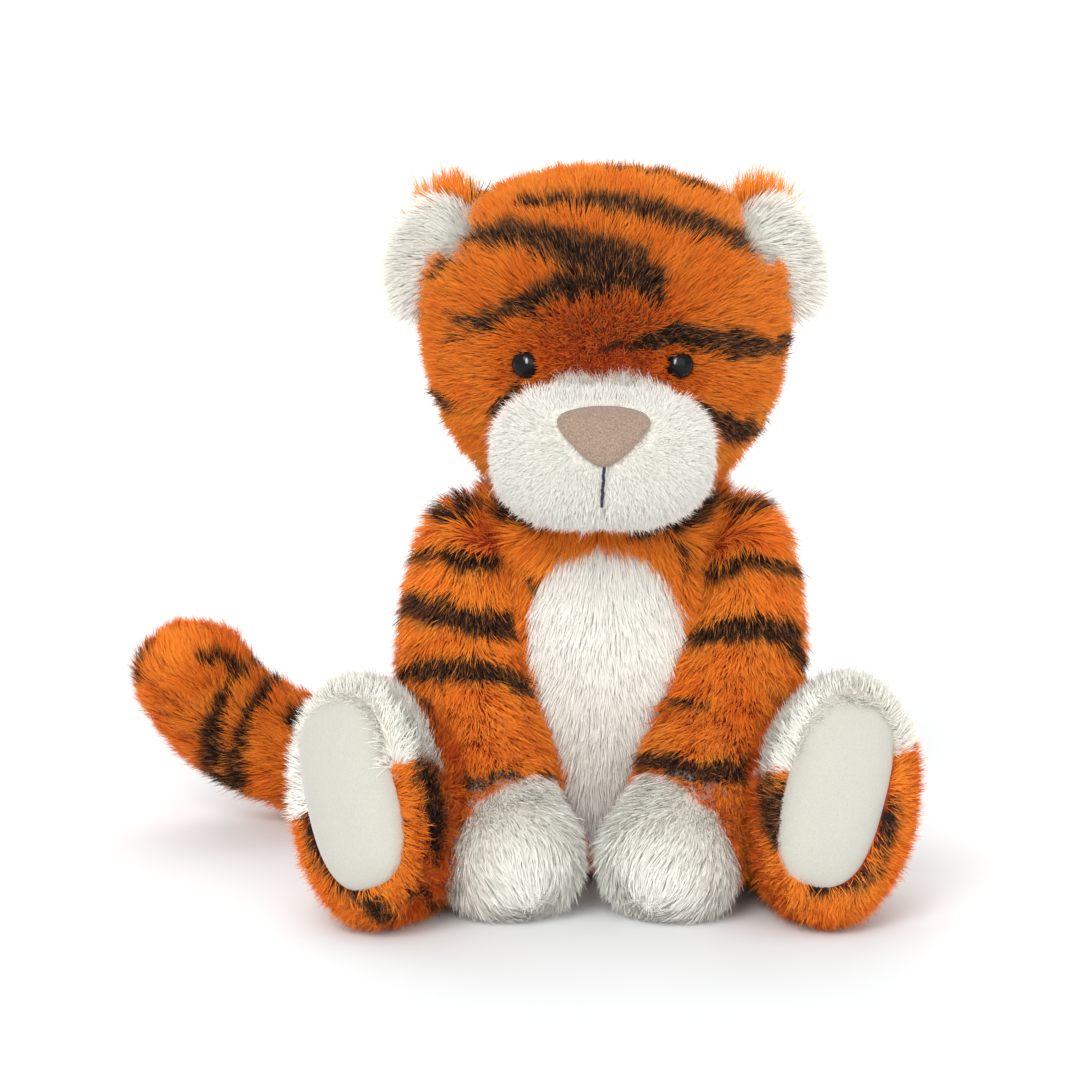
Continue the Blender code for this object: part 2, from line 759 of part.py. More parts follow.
def make_ears(head):
    """The ears, and the grooves in the head that their rolled seams turn in."""
    grooves = []
    for side, name in SIDE_NAMES.items():
        back = placed(f"ear_back_{name}", ear_mesh(side), orange_plush)
        combine(back, placed(f"lining_hole_{name}", lining_mesh(side, GAP), None))
        lining = placed(f"ear_lining_{name}", ear_mesh(side), cream_plush)
        combine(lining, placed(f"lining_shape_{name}", lining_mesh(side, 0.0), None), operation="INTERSECT")
        carried(f"ear_axis_{name}", ear_axis(side)[0], [back, lining], head)
        grooves.append(placed(f"ear_groove_{name}", ear_mesh(side, SWIVEL_GAP), None))
    return grooves


def nose_outline(angle):
    """A triangle with round corners, point down."""
    corner = 1.0 - NOSE_CORNER_SHARE * math.cos(3 * angle)
    return NOSE_HALF_WIDTH * corner * math.sin(angle), NOSE_HALF_HEIGHT * corner * math.cos(angle)


def mouth_outline(angle):
    """A narrow oval strip that hangs from the nose."""
    return MOUTH_THREAD * 0.5 * math.sin(angle), MOUTH_LENGTH * 0.5 * math.cos(angle)


def on_muzzle(name, shape, thickness, finish):
    """A patch of the given thickness that lies on the muzzle inside a shape."""
    patch = form_object(name, MUZZLE, GAP + thickness, finish)
    combine(patch, shape, operation="INTERSECT")
    return combine(patch, form_object(f"{name}_bed", MUZZLE, GAP))


def make_head():
    eyes, holes, pockets = make_eyes()
    head = carried("head_axis", UP * NECK_HEIGHT, eyes)
    grooves = make_ears(head)
    skin = form_object("head_skin", HEAD, 0.0, orange_plush)
    combine(skin, form_object("head_hollow", HEAD, -SKIN), HEAD_BASE, *holes, *grooves)
    stuffing = form_object("head_stuffing", HEAD, -SKIN - GAP, stuffing_fibre)
    combine(stuffing, HEAD_BASE, *pockets, *grooves)
    face = form_object("muzzle_seat", HEAD, GAP)
    muzzle = form_object("muzzle_skin", MUZZLE, 0.0, cream_plush)
    combine(muzzle, form_object("muzzle_hollow", MUZZLE, -SKIN), face)
    filling = combine(form_object("muzzle_stuffing", MUZZLE, -SKIN - GAP, stuffing_fibre), face)
    nose_middle = muzzle_middle() + UP * NOSE_RISE
    nose_shape = prism("nose_shape", nose_outline, nose_middle)
    nose = on_muzzle("nose_patch", nose_shape, NOSE_THICKNESS, nose_velour)
    nose_point = NOSE_HALF_HEIGHT * (1.0 + NOSE_CORNER_SHARE)
    mouth_middle = nose_middle - UP * (nose_point + GAP + MOUTH_LENGTH * 0.5)
    mouth_shape = prism("mouth_shape", mouth_outline, mouth_middle)
    mouth = on_muzzle("mouth_stitch", mouth_shape, MOUTH_THREAD, thread)
    for piece in (skin, stuffing, muzzle, filling, nose, mouth):
        piece.parent = head
        piece.matrix_parent_inverse = Matrix.Translation(-head.location)


def inner_block(name, side, height):
    """A cutter of all that lies inside a flank and above a height."""
    mesh = bmesh.new()
    bmesh.ops.create_cube(mesh, size=REACH)
    inside = side * (FLANK_HALF_WIDTH + GAP - REACH * 0.5)
    place = Matrix.Translation(RIGHT * inside + UP * (height + REACH * 0.5))
    bmesh.ops.transform(mesh, matrix=place, verts=mesh.verts)
    return placed(name, mesh, None)


def make_arms():
    torso = combine(form_object("torso_keepout", BODY, SWIVEL_GAP), *flanks("keepout_flank", FLANK_HALF_WIDTH + GAP))
    top = half_space("shoulder_top_cut", UP * (NECK_HEIGHT - GAP), UP)
    legs = {side: form_object(f"leg_keepout_{SIDE_NAMES[side]}", LEGS[side], LIMB_GAP) for side in LEGS}
    for side, name in SIDE_NAMES.items():
        form = ARMS[side]
        pivot = shoulder(side)
        root = inner_block(f"arm_root_cut_{name}", side, pivot.z)
        meet = half_space(f"paw_meet_cut_{name}", RIGHT * (PAW_SHIFT + side * GAP), RIGHT * -side)
        cuts = [torso, legs[side], top, root, meet, FLOOR]
        spine = Spine(form.spine)
        wrist, ahead = spine.at(spine.length * WRIST_SHARE)
        hollow = form_object(f"arm_hollow_{name}", form, -SKIN)
        arm = form_object(f"arm_skin_{name}", form, 0.0, orange_plush)
        combine(arm, *cuts, hollow, half_space(f"wrist_end_{name}", wrist, ahead))
        paw = form_object(f"paw_{name}", form, 0.0, cream_plush)
        combine(paw, *cuts, hollow, half_space(f"paw_start_{name}", wrist + ahead * GAP, -ahead))
        stuffing = form_object(f"arm_stuffing_{name}", form, -SKIN - GAP, stuffing_fibre)
        combine(stuffing, *cuts)
        carried(f"shoulder_axis_{name}", pivot, [arm, paw, stuffing])


def toe_block(name, side, gap):
    """A cutter behind the sole and above the middle of the foot, grown by a gap."""
    tip, ahead = foot_tip(side), foot_heading(side)
    front = tip - ahead * SOLE_THICKNESS
    turn = ahead.to_track_quat("Z", "Y").to_matrix().to_4x4()
    across = turn.to_3x3() @ RIGHT
    rise = ahead.cross(across)
    rise = rise if rise.z > 0 else -rise
    mesh = bmesh.new()
    bmesh.ops.create_cube(mesh, size=REACH)
    depth = TOE_CAP_DEPTH + gap
    middle = front + ahead * (REACH * 0.5 - depth) + rise * (TOE_CAP_RISE - gap + REACH * 0.5)
    bmesh.ops.transform(mesh, matrix=Matrix.Translation(middle) @ turn, verts=mesh.verts)
    return placed(name, mesh, None)


def make_legs():
    for side, name in SIDE_NAMES.items():
        form = LEGS[side]
        tip, ahead = foot_tip(side), foot_heading(side)
        sole_back = tip - ahead * SOLE_THICKNESS
        front = half_space(f"sole_cut_{name}", sole_back - ahead * GAP, ahead)
        hollow = form_object(f"leg_hollow_{name}", form, -SKIN)
        leg = form_object(f"leg_skin_{name}", form, 0.0, orange_plush)
        combine(leg, FLOOR, hollow, front, toe_block(f"toe_hole_{name}", side, GAP))
        toe = form_object(f"toe_cap_{name}", form, 0.0, cream_plush)
        combine(toe, FLOOR, hollow, front)
        combine(toe, toe_block(f"toe_shape_{name}", side, 0.0), operation="INTERSECT")
        sole = form_object(f"sole_{name}", form, 0.0, cream_velour)
        combine(sole, FLOOR, half_space(f"sole_back_{name}", sole_back, -ahead))
        stuffing = form_object(f"leg_stuffing_{name}", form, -SKIN - GAP, stuffing_fibre)
        combine(stuffing, front)
        carried(f"hip_axis_{name}", hip(side), [leg, toe, sole, stuffing])


def make_tail():
    skin = form_object("tail_skin", TAIL, 0.0, orange_plush)
    root, start = tail_root(), TAIL.spine[0]
    mouth = cylinder("tail_mouth", TAIL_ROOT_RADIUS * 0.5, root, start * 2 - root)
    combine(skin, FLOOR, form_object("tail_hollow", TAIL, -SKIN), mouth)
    stuffing = combine(form_object("tail_stuffing", TAIL, -SKIN - GAP, stuffing_fibre), FLOOR)
    carried("tail_axis", root, [skin, stuffing])


make_body()
make_head()
make_arms()
make_legs()
make_tail()
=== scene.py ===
"""A seated plush tiger in long striped fur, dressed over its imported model.

Metres, +Z up, the face looks along -Y. Every stuffed form is a ring surface along a curved spine, drawn in
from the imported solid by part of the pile, and the fur is real strands: narrow tapered ribbons that grow
from that backing. Stripes are strokes laid on each form, and each strand takes its colour from them.
"""

import math

import bpy
import numpy as np
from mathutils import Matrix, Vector
from mathutils.bvhtree import BVHTree
from mathutils.kdtree import KDTree


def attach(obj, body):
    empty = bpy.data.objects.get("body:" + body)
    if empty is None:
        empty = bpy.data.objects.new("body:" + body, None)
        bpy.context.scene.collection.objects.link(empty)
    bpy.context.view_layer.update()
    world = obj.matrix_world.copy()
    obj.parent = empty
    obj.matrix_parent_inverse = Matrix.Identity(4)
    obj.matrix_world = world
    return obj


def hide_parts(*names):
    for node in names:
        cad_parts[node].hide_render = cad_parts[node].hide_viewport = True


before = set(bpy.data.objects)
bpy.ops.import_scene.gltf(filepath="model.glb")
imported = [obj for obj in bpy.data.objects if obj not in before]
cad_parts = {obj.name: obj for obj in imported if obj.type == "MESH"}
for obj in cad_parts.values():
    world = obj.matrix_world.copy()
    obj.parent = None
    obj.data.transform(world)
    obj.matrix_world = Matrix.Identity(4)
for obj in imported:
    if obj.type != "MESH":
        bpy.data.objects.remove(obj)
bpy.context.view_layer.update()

DETAIL = 1.0

# Camera: where the photograph was taken from, and how many pixels a unit slope covers
SHOT = 1080.0
CAMERA_DISTANCE = 1.25
CAMERA_RISE = math.radians(10.5)
CAMERA_AIM = np.array([-0.0218, 0.0, 0.111])
PIXELS_PER_SLOPE = 3676.5
SENSOR = 36.0
PIXEL = 0.00034

# The forms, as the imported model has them
NECK = 0.127
FLANK = 0.038
FLANK_DRAW, FLANK_SOFT = 0.0012, 0.004
NECK_BELOW, NECK_ABOVE = 0.001, 0.0006
SHOULDER = np.array([0.0405, -0.006, 0.108])
WRIST_SHARE = 0.735
SOLE = 0.0065
SOLE_FULLNESS = 2.75
SOLE_WIDE, SOLE_HIGH = 0.815, 0.945
SOLE_LEAN = 6.0
SOLE_ASIDE = 0.002
SOLE_SHIFT = 0.002
SOLE_ROUND = 0.8
SOLE_UNDER = 0.0025
SOLE_PUFF = 0.0105
TOE_DEPTH = 0.022
TOE_SEAMS = {-1: (0.6, 0.0023), 1: (-0.15, 0.0105)}
BIB_TOP, BIB_BOTTOM, BIB_HALF, BIB_TAPER = 0.1165, 0.02, 0.0208, 0.62
FACE_SHIFT = -0.0015
EYE_SPREAD, EYE_HEIGHT, EYE_RADIUS, EYE_DOME = 0.0255, 0.177, 0.0045, 0.0036
EYE_SINK = 0.0013
NOSE_HALF = (0.0152, 0.0088)
NOSE_MIDDLE = (-0.0015, 0.1576)
EAR_SEAT = np.array([0.05436, 0.002, 0.20702])
EAR_LIFT = math.radians(28.5)
EAR_LENGTH, EAR_REACH, EAR_THICK = 0.0225, 0.0172, 0.0052
EAR_INSET, EAR_CUP = 0.0012, 0.0035

INSET = 0.0026
MUZZLE_INSET = 0.0018
MUZZLE_FULL = 0.0022
MUZZLE_GRID = (90, 72)
PAW_PLUMP = 0.0019
PAW_SHIFT = 5.0
PAW_SLANT = 400.0
FLOOR_GAP = 0.0004
PILE_LEVEL = 0.004

SIDES = {-1: "left", 1: "right"}
UP = np.array([0.0, 0.0, 1.0])
RIGHT = np.array([1.0, 0.0, 0.0])
FRONT = np.array([0.0, -1.0, 0.0])


def unit(v):
    v = np.asarray(v, float)
    return v / np.maximum(np.linalg.norm(v, axis=-1, keepdims=True), 1e-12)


def smooth(low, high, x):
    t = np.clip((np.asarray(x, float) - low) / (high - low), 0, 1)
    return t * t * (3 - 2 * t)


WAVES, WAVE_SPREAD, WAVE_SUM = 6, (0.6, 1.5), 3.2


def wobble(p, size, seed):
    """Smooth noise from about -1 to 1 over points, with features of the given size."""
    rng = np.random.default_rng(seed)
    total = np.zeros(len(p))
    for _ in range(WAVES):
        way = unit(rng.normal(size=3)) * (2 * math.pi / size) * rng.uniform(*WAVE_SPREAD)
        total += np.sin(p @ way + rng.uniform(0, 2 * math.pi))
    return total / WAVE_SUM


# The camera's rays, for strokes that are placed as the photograph shows them

FORWARD = np.array([0.0, math.cos(CAMERA_RISE), -math.sin(CAMERA_RISE)])
UPWARD = np.array([0.0, math.sin(CAMERA_RISE), math.cos(CAMERA_RISE)])
CAMERA_PLACE = CAMERA_AIM - FORWARD * CAMERA_DISTANCE


def ray(pixel):
    across = (pixel[0] - SHOT / 2) / PIXELS_PER_SLOPE
    rise = (SHOT / 2 - pixel[1]) / PIXELS_PER_SLOPE
    return unit(FORWARD + RIGHT * across + UPWARD * rise)


# Ring surfaces


def share_at(shares, place):
    last = len(shares) - 1
    cell = min(int(place * last), last - 1)
    t = place * last - cell
    before, low, high, after = (shares[min(max(cell + k, 0), last)] for k in (-1, 0, 1, 2))
    bend = 2 * before - 5 * low + 4 * high - after
    twist = 3 * low - before - 3 * high + after
    return low + 0.5 * ((high - before) * t + bend * t**2 + twist * t**3)


class Spine:
    """A Bezier curve measured along its length, which runs straight on past both ends."""

    def __init__(self, points, samples=160):
        t = np.linspace(0, 1, samples + 1)[:, None]
        a, b, c, d = (np.asarray(p, float) for p in points)
        self.points = a * (1 - t) ** 3 + b * 3 * t * (1 - t) ** 2 + c * 3 * t**2 * (1 - t) + d * t**3
        steps = np.diff(self.points, axis=0)
        self.reached = np.concatenate([[0], np.cumsum(np.linalg.norm(steps, axis=1))])
        self.ways = unit(np.gradient(self.points, axis=0))
        self.length = self.reached[-1]

    def at(self, along):
        inside = min(max(along, 0.0), self.length)
        point = np.array([np.interp(inside, self.reached, self.points[:, k]) for k in range(3)])
        way = unit([np.interp(inside, self.reached, self.ways[:, k]) for k in range(3)])
        return point + way * (along - inside), way


def ring_place(share, length, caps, girths, fullness):
    arcs = [0.5 * math.pi * math.hypot(cap, girth) / math.sqrt(2) for cap, girth in zip(caps, girths)]
    barrel = max(length - sum(caps), 0.0)
    travel = share * (sum(arcs) + barrel)
    if travel < arcs[0]:
        angle, power = 0.5 * math.pi * travel / arcs[0], 2.0 / fullness[0]
        return caps[0] * (1.0 - math.cos(angle) ** power), math.sin(angle) ** power
    if travel <= arcs[0] + barrel:
        return caps[0] + travel - arcs[0], 1.0
    angle = 0.5 * math.pi * max(sum(arcs) + barrel - travel, 0.0) / arcs[1]
    power = 2.0 / fullness[1]
    return length - caps[1] * (1.0 - math.cos(angle) ** power), math.sin(angle) ** power


class Surface:
    """Rings of points round a spine: a closed skin with a place along and around it for every point."""

    def __init__(self, points):
        self.points = points
        self.rings, self.sides = points.shape[0], points.shape[1]
        along = np.gradient(points, axis=0)
        around = np.roll(points, -1, axis=1) - np.roll(points, 1, axis=1)
        normals = np.cross(along, around)
        for end, ahead in ((0, 1), (-1, -2)):
            normals[end] = normals[ahead]
            along[end] = along[ahead]
        middle = points.mean(axis=1, keepdims=True)
        sense = np.sign(np.sum(normals * (points - middle)))
        self.normals = unit(normals * sense)
        self.flow = unit(along)
        self.sense = sense
        normal = unit(self.normals[0].mean(0)), unit(self.normals[-1].mean(0))
        self.normals[0], self.normals[-1] = normal

    def part(self, first, last):
        piece = Surface(self.points[first : last + 1])
        piece.normals = self.normals[first : last + 1]
        piece.flow = self.flow[first : last + 1]
        return piece

    def mesh(self):
        """Vertices and faces of the closed skin, with a point at each end."""
        rings, sides = self.rings, self.sides
        ends = [self.points[0].mean(0), self.points[-1].mean(0)]
        verts = np.concatenate([self.points.reshape(-1, 3), ends])
        faces = []
        for r in range(rings - 1):
            for m in range(sides):
                n = (m + 1) % sides
                faces.append((r * sides + m, r * sides + n, (r + 1) * sides + n, (r + 1) * sides + m))
        low, high, last = rings * sides, rings * sides + 1, (rings - 1) * sides
        for m in range(sides):
            n = (m + 1) % sides
            faces.append((low, n, m))
            faces.append((high, last + m, last + n))
        if self.sense > 0:
            faces = [f[::-1] for f in faces]
        return verts, faces

    def tree(self):
        verts, faces = self.mesh()
        return BVHTree.FromPolygons([Vector(v) for v in verts], faces)

    def scatter(self, density, rng):
        """Random points over the skin at so many a square metre."""
        p = self.points
        q = np.roll(p, -1, axis=1)
        across, down = q[:-1] - p[:-1], p[1:] - p[:-1]
        area = np.linalg.norm(np.cross(across, down), axis=2)
        weights = area.ravel() / area.sum()
        count = int(area.sum() * density)
        cell = rng.choice(len(weights), size=count, p=weights)
        r, m = cell // self.sides, cell % self.sides
        a, b = rng.random(count)[:, None], rng.random(count)[:, None]
        n = (m + 1) % self.sides

        def mixed(grid):
            low = grid[r, m] * (1 - b) + grid[r, n] * b
            high = grid[r + 1, m] * (1 - b) + grid[r + 1, n] * b
            return low * (1 - a) + high * a

        place = np.stack([(r + a[:, 0]) / (self.rings - 1), (m + b[:, 0]) / self.sides], 1)
        return mixed(p), unit(mixed(self.normals)), unit(mixed(self.flow)), place


def form_surface(form, grow, rings=110, sides=84):
    """The rings of a stuffed form moved outwards by grow."""
    spine = Spine(form["spine"])
    length = spine.length + 2 * grow
    caps = [cap + grow for cap in form["caps"]]
    widths, heights = form["widths"], form["heights"]
    angle = np.arange(sides) / sides * 2 * math.pi
    points = np.zeros((rings + 1, sides, 3))
    for i in range(rings + 1):
        along, swell = ring_place(i / rings, length, caps, [widths[0], widths[-1]], form["fullness"])
        centre, ahead = spine.at(along - grow)
        side = unit(form["across"] - ahead * np.dot(form["across"], ahead))
        rise = np.cross(ahead, side)
        place = min(max((along - grow) / spine.length, 0.0), 1.0)
        lean = math.radians(form.get("lean", 0.0)) * place
        turned = side * math.cos(lean) + rise * math.sin(lean)
        rise = rise * math.cos(lean) - side * math.sin(lean)
        side = turned
        wide = (share_at(widths, place) + grow) * swell
        high = (share_at(heights, place) + grow) * swell
        points[i] = centre + side * (np.cos(angle) * wide)[:, None] + rise * (np.sin(angle) * high)[:, None]
    return points


def scaled(size, shares):
    return [size * share for share in shares]


def upright(low, high):
    return [UP * (low + (high - low) * k / 3) for k in range(4)]


def heading(azimuth, pitch, side):
    out, lift = math.radians(azimuth), math.radians(pitch)
    return (RIGHT * side * math.sin(out) + FRONT * math.cos(out)) * math.cos(lift) + UP * math.sin(lift)


# The roundness of a form's ends: 2 is an ellipse, more is squarer
ROUND, FULL = 2.0, 2.5
BODY = {
    "spine": upright(-0.0005, 0.145), "across": RIGHT, "caps": (0.013, 0.018), "fullness": (FULL, FULL),
    "widths": scaled(0.043, (0.94, 1.0, 1.0, 0.98, 0.95, 0.9)),
    "heights": scaled(0.041, (0.93, 1.0, 0.96, 0.88, 0.82, 0.76)),
}
HEAD = {
    "spine": upright(0.12, 0.235), "across": RIGHT, "caps": (0.0575, 0.0575), "fullness": (2.2, FULL),
    "widths": scaled(0.0595, (0.84, 0.9, 0.96, 1.01, 1.03, 1.03)),
    "heights": scaled(0.049, (0.86, 0.94, 1.0, 1.0, 0.98, 0.95)),
}
MUZZLE_MIDDLE = np.array([FACE_SHIFT, -0.056, 0.1495])
MUZZLE_REACH = 0.0328
MUZZLE_HALF = RIGHT * MUZZLE_REACH
MUZZLE_BOW = FRONT * 0.0094
MUZZLE = {
    "spine": [MUZZLE_MIDDLE - MUZZLE_HALF - MUZZLE_BOW, MUZZLE_MIDDLE - MUZZLE_HALF / 3,
              MUZZLE_MIDDLE + MUZZLE_HALF / 3, MUZZLE_MIDDLE + MUZZLE_HALF - MUZZLE_BOW],
    "across": FRONT, "caps": (MUZZLE_REACH, MUZZLE_REACH), "fullness": (FULL, FULL),
    "widths": scaled(0.0235, (1.0, 1.0, 1.0)), "heights": scaled(0.021, (0.96, 1.0, 0.97, 1.0, 0.96)),
}
ARM_ROOT, LEG_ROOT, TAIL_END = 0.0165, 0.0195, 0.0155


def arm_form(side):
    pivot = SHOULDER * (side, 1, 1)
    elbow = pivot + RIGHT * side * 0.0145 - UP * 0.03
    wrist = np.array([side * 0.041 - 0.003, -0.032, 0.038])
    tip = np.array([side * 0.0203 - 0.006, -0.084, 0.0111])
    return {
        "spine": [pivot + UP * ARM_ROOT, elbow, wrist, tip], "across": RIGHT, "caps": (ARM_ROOT, 0.019),
        "fullness": (ROUND, FULL), "widths": [ARM_ROOT, *scaled(0.0225, (0.86, 0.97, 1.0, 0.94, 0.93))],
        "heights": [ARM_ROOT, *scaled(0.0215, (0.9, 1.0, 1.0, 0.96, 0.93))],
    }


def hip(side):
    return np.array([side * 0.029, 0.002, 0.0212])


def foot(side):
    """The middle of a foot's end, and the way it points."""
    spread, azimuth = (0.0845, 33.0) if side < 0 else (0.0765, 12.0)
    return np.array([side * spread, -0.093, 0.0452]), heading(azimuth, 17.0, side)


def leg_form(side):
    thigh = heading(58.0, 0.0, side)
    tip, ahead = foot(side)
    return {
        "spine": [hip(side) - thigh * LEG_ROOT, hip(side) + thigh * 0.05, tip - ahead * 0.047, tip],
        "across": RIGHT * side, "caps": (LEG_ROOT, 0.017), "fullness": (ROUND, FULL), "lean": -side * 10.0,
        "widths": [LEG_ROOT, *scaled(0.024, (0.92, 0.98, 1.02, 1.02, 1.0))],
        "heights": [LEG_ROOT, *scaled(0.0398, (0.53, 0.6, 0.8, 0.97, 1.0))],
    }


TAIL_ROOT = np.array([-0.008, 0.04, 0.0192])
TAIL_BEND = np.array([-0.063, 0.058, 0.0138])
TAIL_WIDTHS = [TAIL_END, *scaled(0.0188, (0.93, 0.98, 1.0, 1.04, 1.0))]
TAIL = {
    "spine": [TAIL_ROOT - unit(TAIL_BEND - TAIL_ROOT) * TAIL_END, TAIL_BEND,
              np.array([-0.141, 0.05, 0.0124]), np.array([-0.15, 0.05, 0.069])],
    "across": FRONT, "caps": (TAIL_END, 0.016), "fullness": (ROUND, ROUND),
    "widths": TAIL_WIDTHS, "heights": TAIL_WIDTHS,
}


def soft_limit(x, limit, soft):
    """Values that never pass a limit, and bend towards it over a soft stretch."""
    over = np.maximum(np.abs(x) - (limit - soft), 0.0)
    held = limit - soft + soft * (1 - np.exp(-over / soft))
    return np.where(over > 0, np.sign(x) * held, x)


def on_floor(points):
    points[..., 2] = np.maximum(points[..., 2], FLOOR_GAP)
    return points


def torso_points():
    points = form_surface(BODY, -INSET)
    points[..., 0] = soft_limit(points[..., 0], FLANK - FLANK_DRAW, FLANK_SOFT)
    points[..., 2] = np.minimum(points[..., 2], NECK - NECK_BELOW)
    return on_floor(points)


def head_points():
    points = form_surface(HEAD, -INSET)
    points[..., 2] = np.maximum(points[..., 2], NECK + NECK_ABOVE)
    return points


def limb_points(form, plump=0.0):
    """A limb's backing, which can be plumper past its wrist."""
    points = form_surface(form, -INSET)
    shares = np.linspace(0, 1, len(points))[:, None, None]
    points += Surface(points).normals * plump * smooth(0.7, 0.85, shares)
    return on_floor(points)


def muzzle_points():
    """The muzzle's backing, fuller below."""
    points = form_surface(MUZZLE, -MUZZLE_INSET, *MUZZLE_GRID)
    points += Surface(points).normals * MUZZLE_FULL * smooth(0.15, 0.134, points[..., 2:])
    return points


TORSO_SKIN = Surface(torso_points())
HEAD_SKIN = Surface(head_points())
MUZZLE_SKIN = Surface(muzzle_points())
ARM_SKINS = {side: Surface(limb_points(arm_form(side), PAW_PLUMP)) for side in SIDES}
LEG_SKINS = {side: Surface(limb_points(leg_form(side))) for side in SIDES}
TAIL_SKIN = Surface(on_floor(form_surface(TAIL, -INSET, rings=130, sides=64)))


def ear_frame(side):
    outward = RIGHT * side * math.cos(EAR_LIFT) + UP * math.sin(EAR_LIFT)
    along = UP * math.cos(EAR_LIFT) - RIGHT * side * math.sin(EAR_LIFT)
    return EAR_SEAT * (side, 1, 1), outward, along


def ear_points(side, grow=0.0, rings=48, sides=56):
    """A cupped half oval: its front is drawn back in the middle."""
    seat, outward, along = ear_frame(side)
    turn = np.arange(sides) / sides * 2 * math.pi
    points = np.zeros((rings + 1, sides, 3))
    for i in range(rings + 1):
        polar = math.pi * i / rings
        x, y, z = math.sin(polar) * np.cos(turn), math.sin(polar) * np.sin(turn), math.cos(polar)
        height = np.where(y > 0, y * (EAR_REACH + grow), y * (EAR_THICK + grow))
        cup = EAR_CUP * np.clip(1 - (z**2 + (y - 0.35) ** 2) / 0.5, 0, 1) * (x > 0)
        depth = x * (EAR_THICK + grow) - cup
        height, depth = outward * height[:, None], FRONT * depth[:, None]
        points[i] = seat + along * z * (EAR_LENGTH + grow) + height + depth
    return points


EAR_SKINS = {side: Surface(ear_points(side, -EAR_INSET)) for side in SIDES}


def shell(surface):
    """The level at which the pile shows."""
    return Surface(surface.points + surface.normals * PILE_LEVEL)


TORSO_SHELL, HEAD_SHELL, TAIL_SHELL = shell(TORSO_SKIN), shell(HEAD_SKIN), shell(TAIL_SKIN)
ARM_SHELLS = {side: shell(ARM_SKINS[side]) for side in SIDES}
LEG_SHELLS = {side: shell(LEG_SKINS[side]) for side in SIDES}

SKINS = {"torso": TORSO_SKIN, "head": HEAD_SKIN, "muzzle": MUZZLE_SKIN, "tail": TAIL_SKIN}
for side, label in SIDES.items():
    SKINS[f"arm_{label}"] = ARM_SKINS[side]
    SKINS[f"leg_{label}"] = LEG_SKINS[side]
    SKINS[f"ear_{label}"] = EAR_SKINS[side]
TREES = {name: skin.tree() for name, skin in SKINS.items()}

# Colours, linear

BRIGHT = np.array([0.95, 0.3, 0.03])
ORANGE = np.array([0.87, 0.185, 0.012])
RUST = np.array([0.58, 0.075, 0.004])
ROOT = np.array([0.3, 0.03, 0.002])
DARK = np.array([0.02, 0.01, 0.007])
BROWN = np.array([0.2, 0.07, 0.018])
GOLD = np.array([0.43, 0.145, 0.03])
CREAM = np.array([0.955, 0.935, 0.875])
CREAM_ROOT = np.array([0.93, 0.895, 0.815])
BLUSH = np.array([0.94, 0.73, 0.63])


# Stripes: strokes of points with a half width at each

STROKE_SHARE = 0.68
OUTSIDE = -9.0


class Stroke:
    """A line over a skin that is as wide as its half widths say."""

    def __init__(self, points, halves, strength=1.0):
        self.points = np.asarray(points, float)
        self.halves = np.asarray(halves, float)
        self.strength = strength

    def depth(self, p):
        """How deep each point lies in the stroke: 1 on its line, 0 at its edge, under 0 outside."""
        best = np.full(len(p), OUTSIDE)
        for a, b, ha, hb in zip(self.points, self.points[1:], self.halves, self.halves[1:]):
            way = b - a
            t = np.clip((p - a) @ way / max(way @ way, 1e-12), 0, 1)
            gap = np.linalg.norm(p - a - t[:, None] * way, axis=1)
            half = ha + (hb - ha) * t
            best = np.maximum(best, 1 - gap / half)
        return best


def widths_for(count, widths):
    """Half widths in metres for so many points, from a few widths in pixels."""
    place = np.linspace(0, len(widths) - 1, count)
    return np.interp(place, range(len(widths)), widths) * STROKE_SHARE * PIXEL


def smooth_line(points, count=26):
    """A smooth curve through the points."""
    points = np.asarray(points, float)
    t = np.linspace(0, len(points) - 1, count)
    if len(points) < 3:
        return np.stack([np.interp(t, range(len(points)), points[:, k]) for k in range(points.shape[1])], 1)
    cell = np.minimum(t.astype(int), len(points) - 2)
    u = (t - cell)[:, None]
    last = len(points) - 1
    a, b, c, d = (points[np.clip(cell + k, 0, last)] for k in (-1, 0, 1, 2))
    return b + 0.5 * u * (c - a + u * (2 * a - 5 * b + 4 * c - d + u * (3 * (b - c) + d - a)))


def hit(tree, pixel, middle):
    """The point of a skin under a pixel, or the nearest one to the pixel's ray."""
    way = ray(pixel)
    found = tree.ray_cast(Vector(CAMERA_PLACE), Vector(way))[0]
    if found is None:
        reach = np.dot(middle - CAMERA_PLACE, way)
        found = tree.find_nearest(Vector(CAMERA_PLACE + way * reach))[0]
    return np.array(found)


def drawn(tree, pixels, widths, middle, strength=1.0):
    """A stroke on a skin through pixels of the photograph."""
    line = smooth_line(pixels)
    return Stroke([hit(tree, pixel, middle) for pixel in line], widths_for(len(line), widths), strength)


def laid(tree, points, widths, strength=1.0):
    """A stroke on a skin near points in space, for what the photograph doesn't show."""
    line = smooth_line(points)
    on = [np.array(tree.find_nearest(Vector(p))[0]) for p in line]
    return Stroke(on, widths_for(len(line), widths), strength)


# Places that a band has in front and behind, and how far it wavers behind
BAND_FRONT, BAND_BACK, BAND_SWAY = 14, 16, 1.6


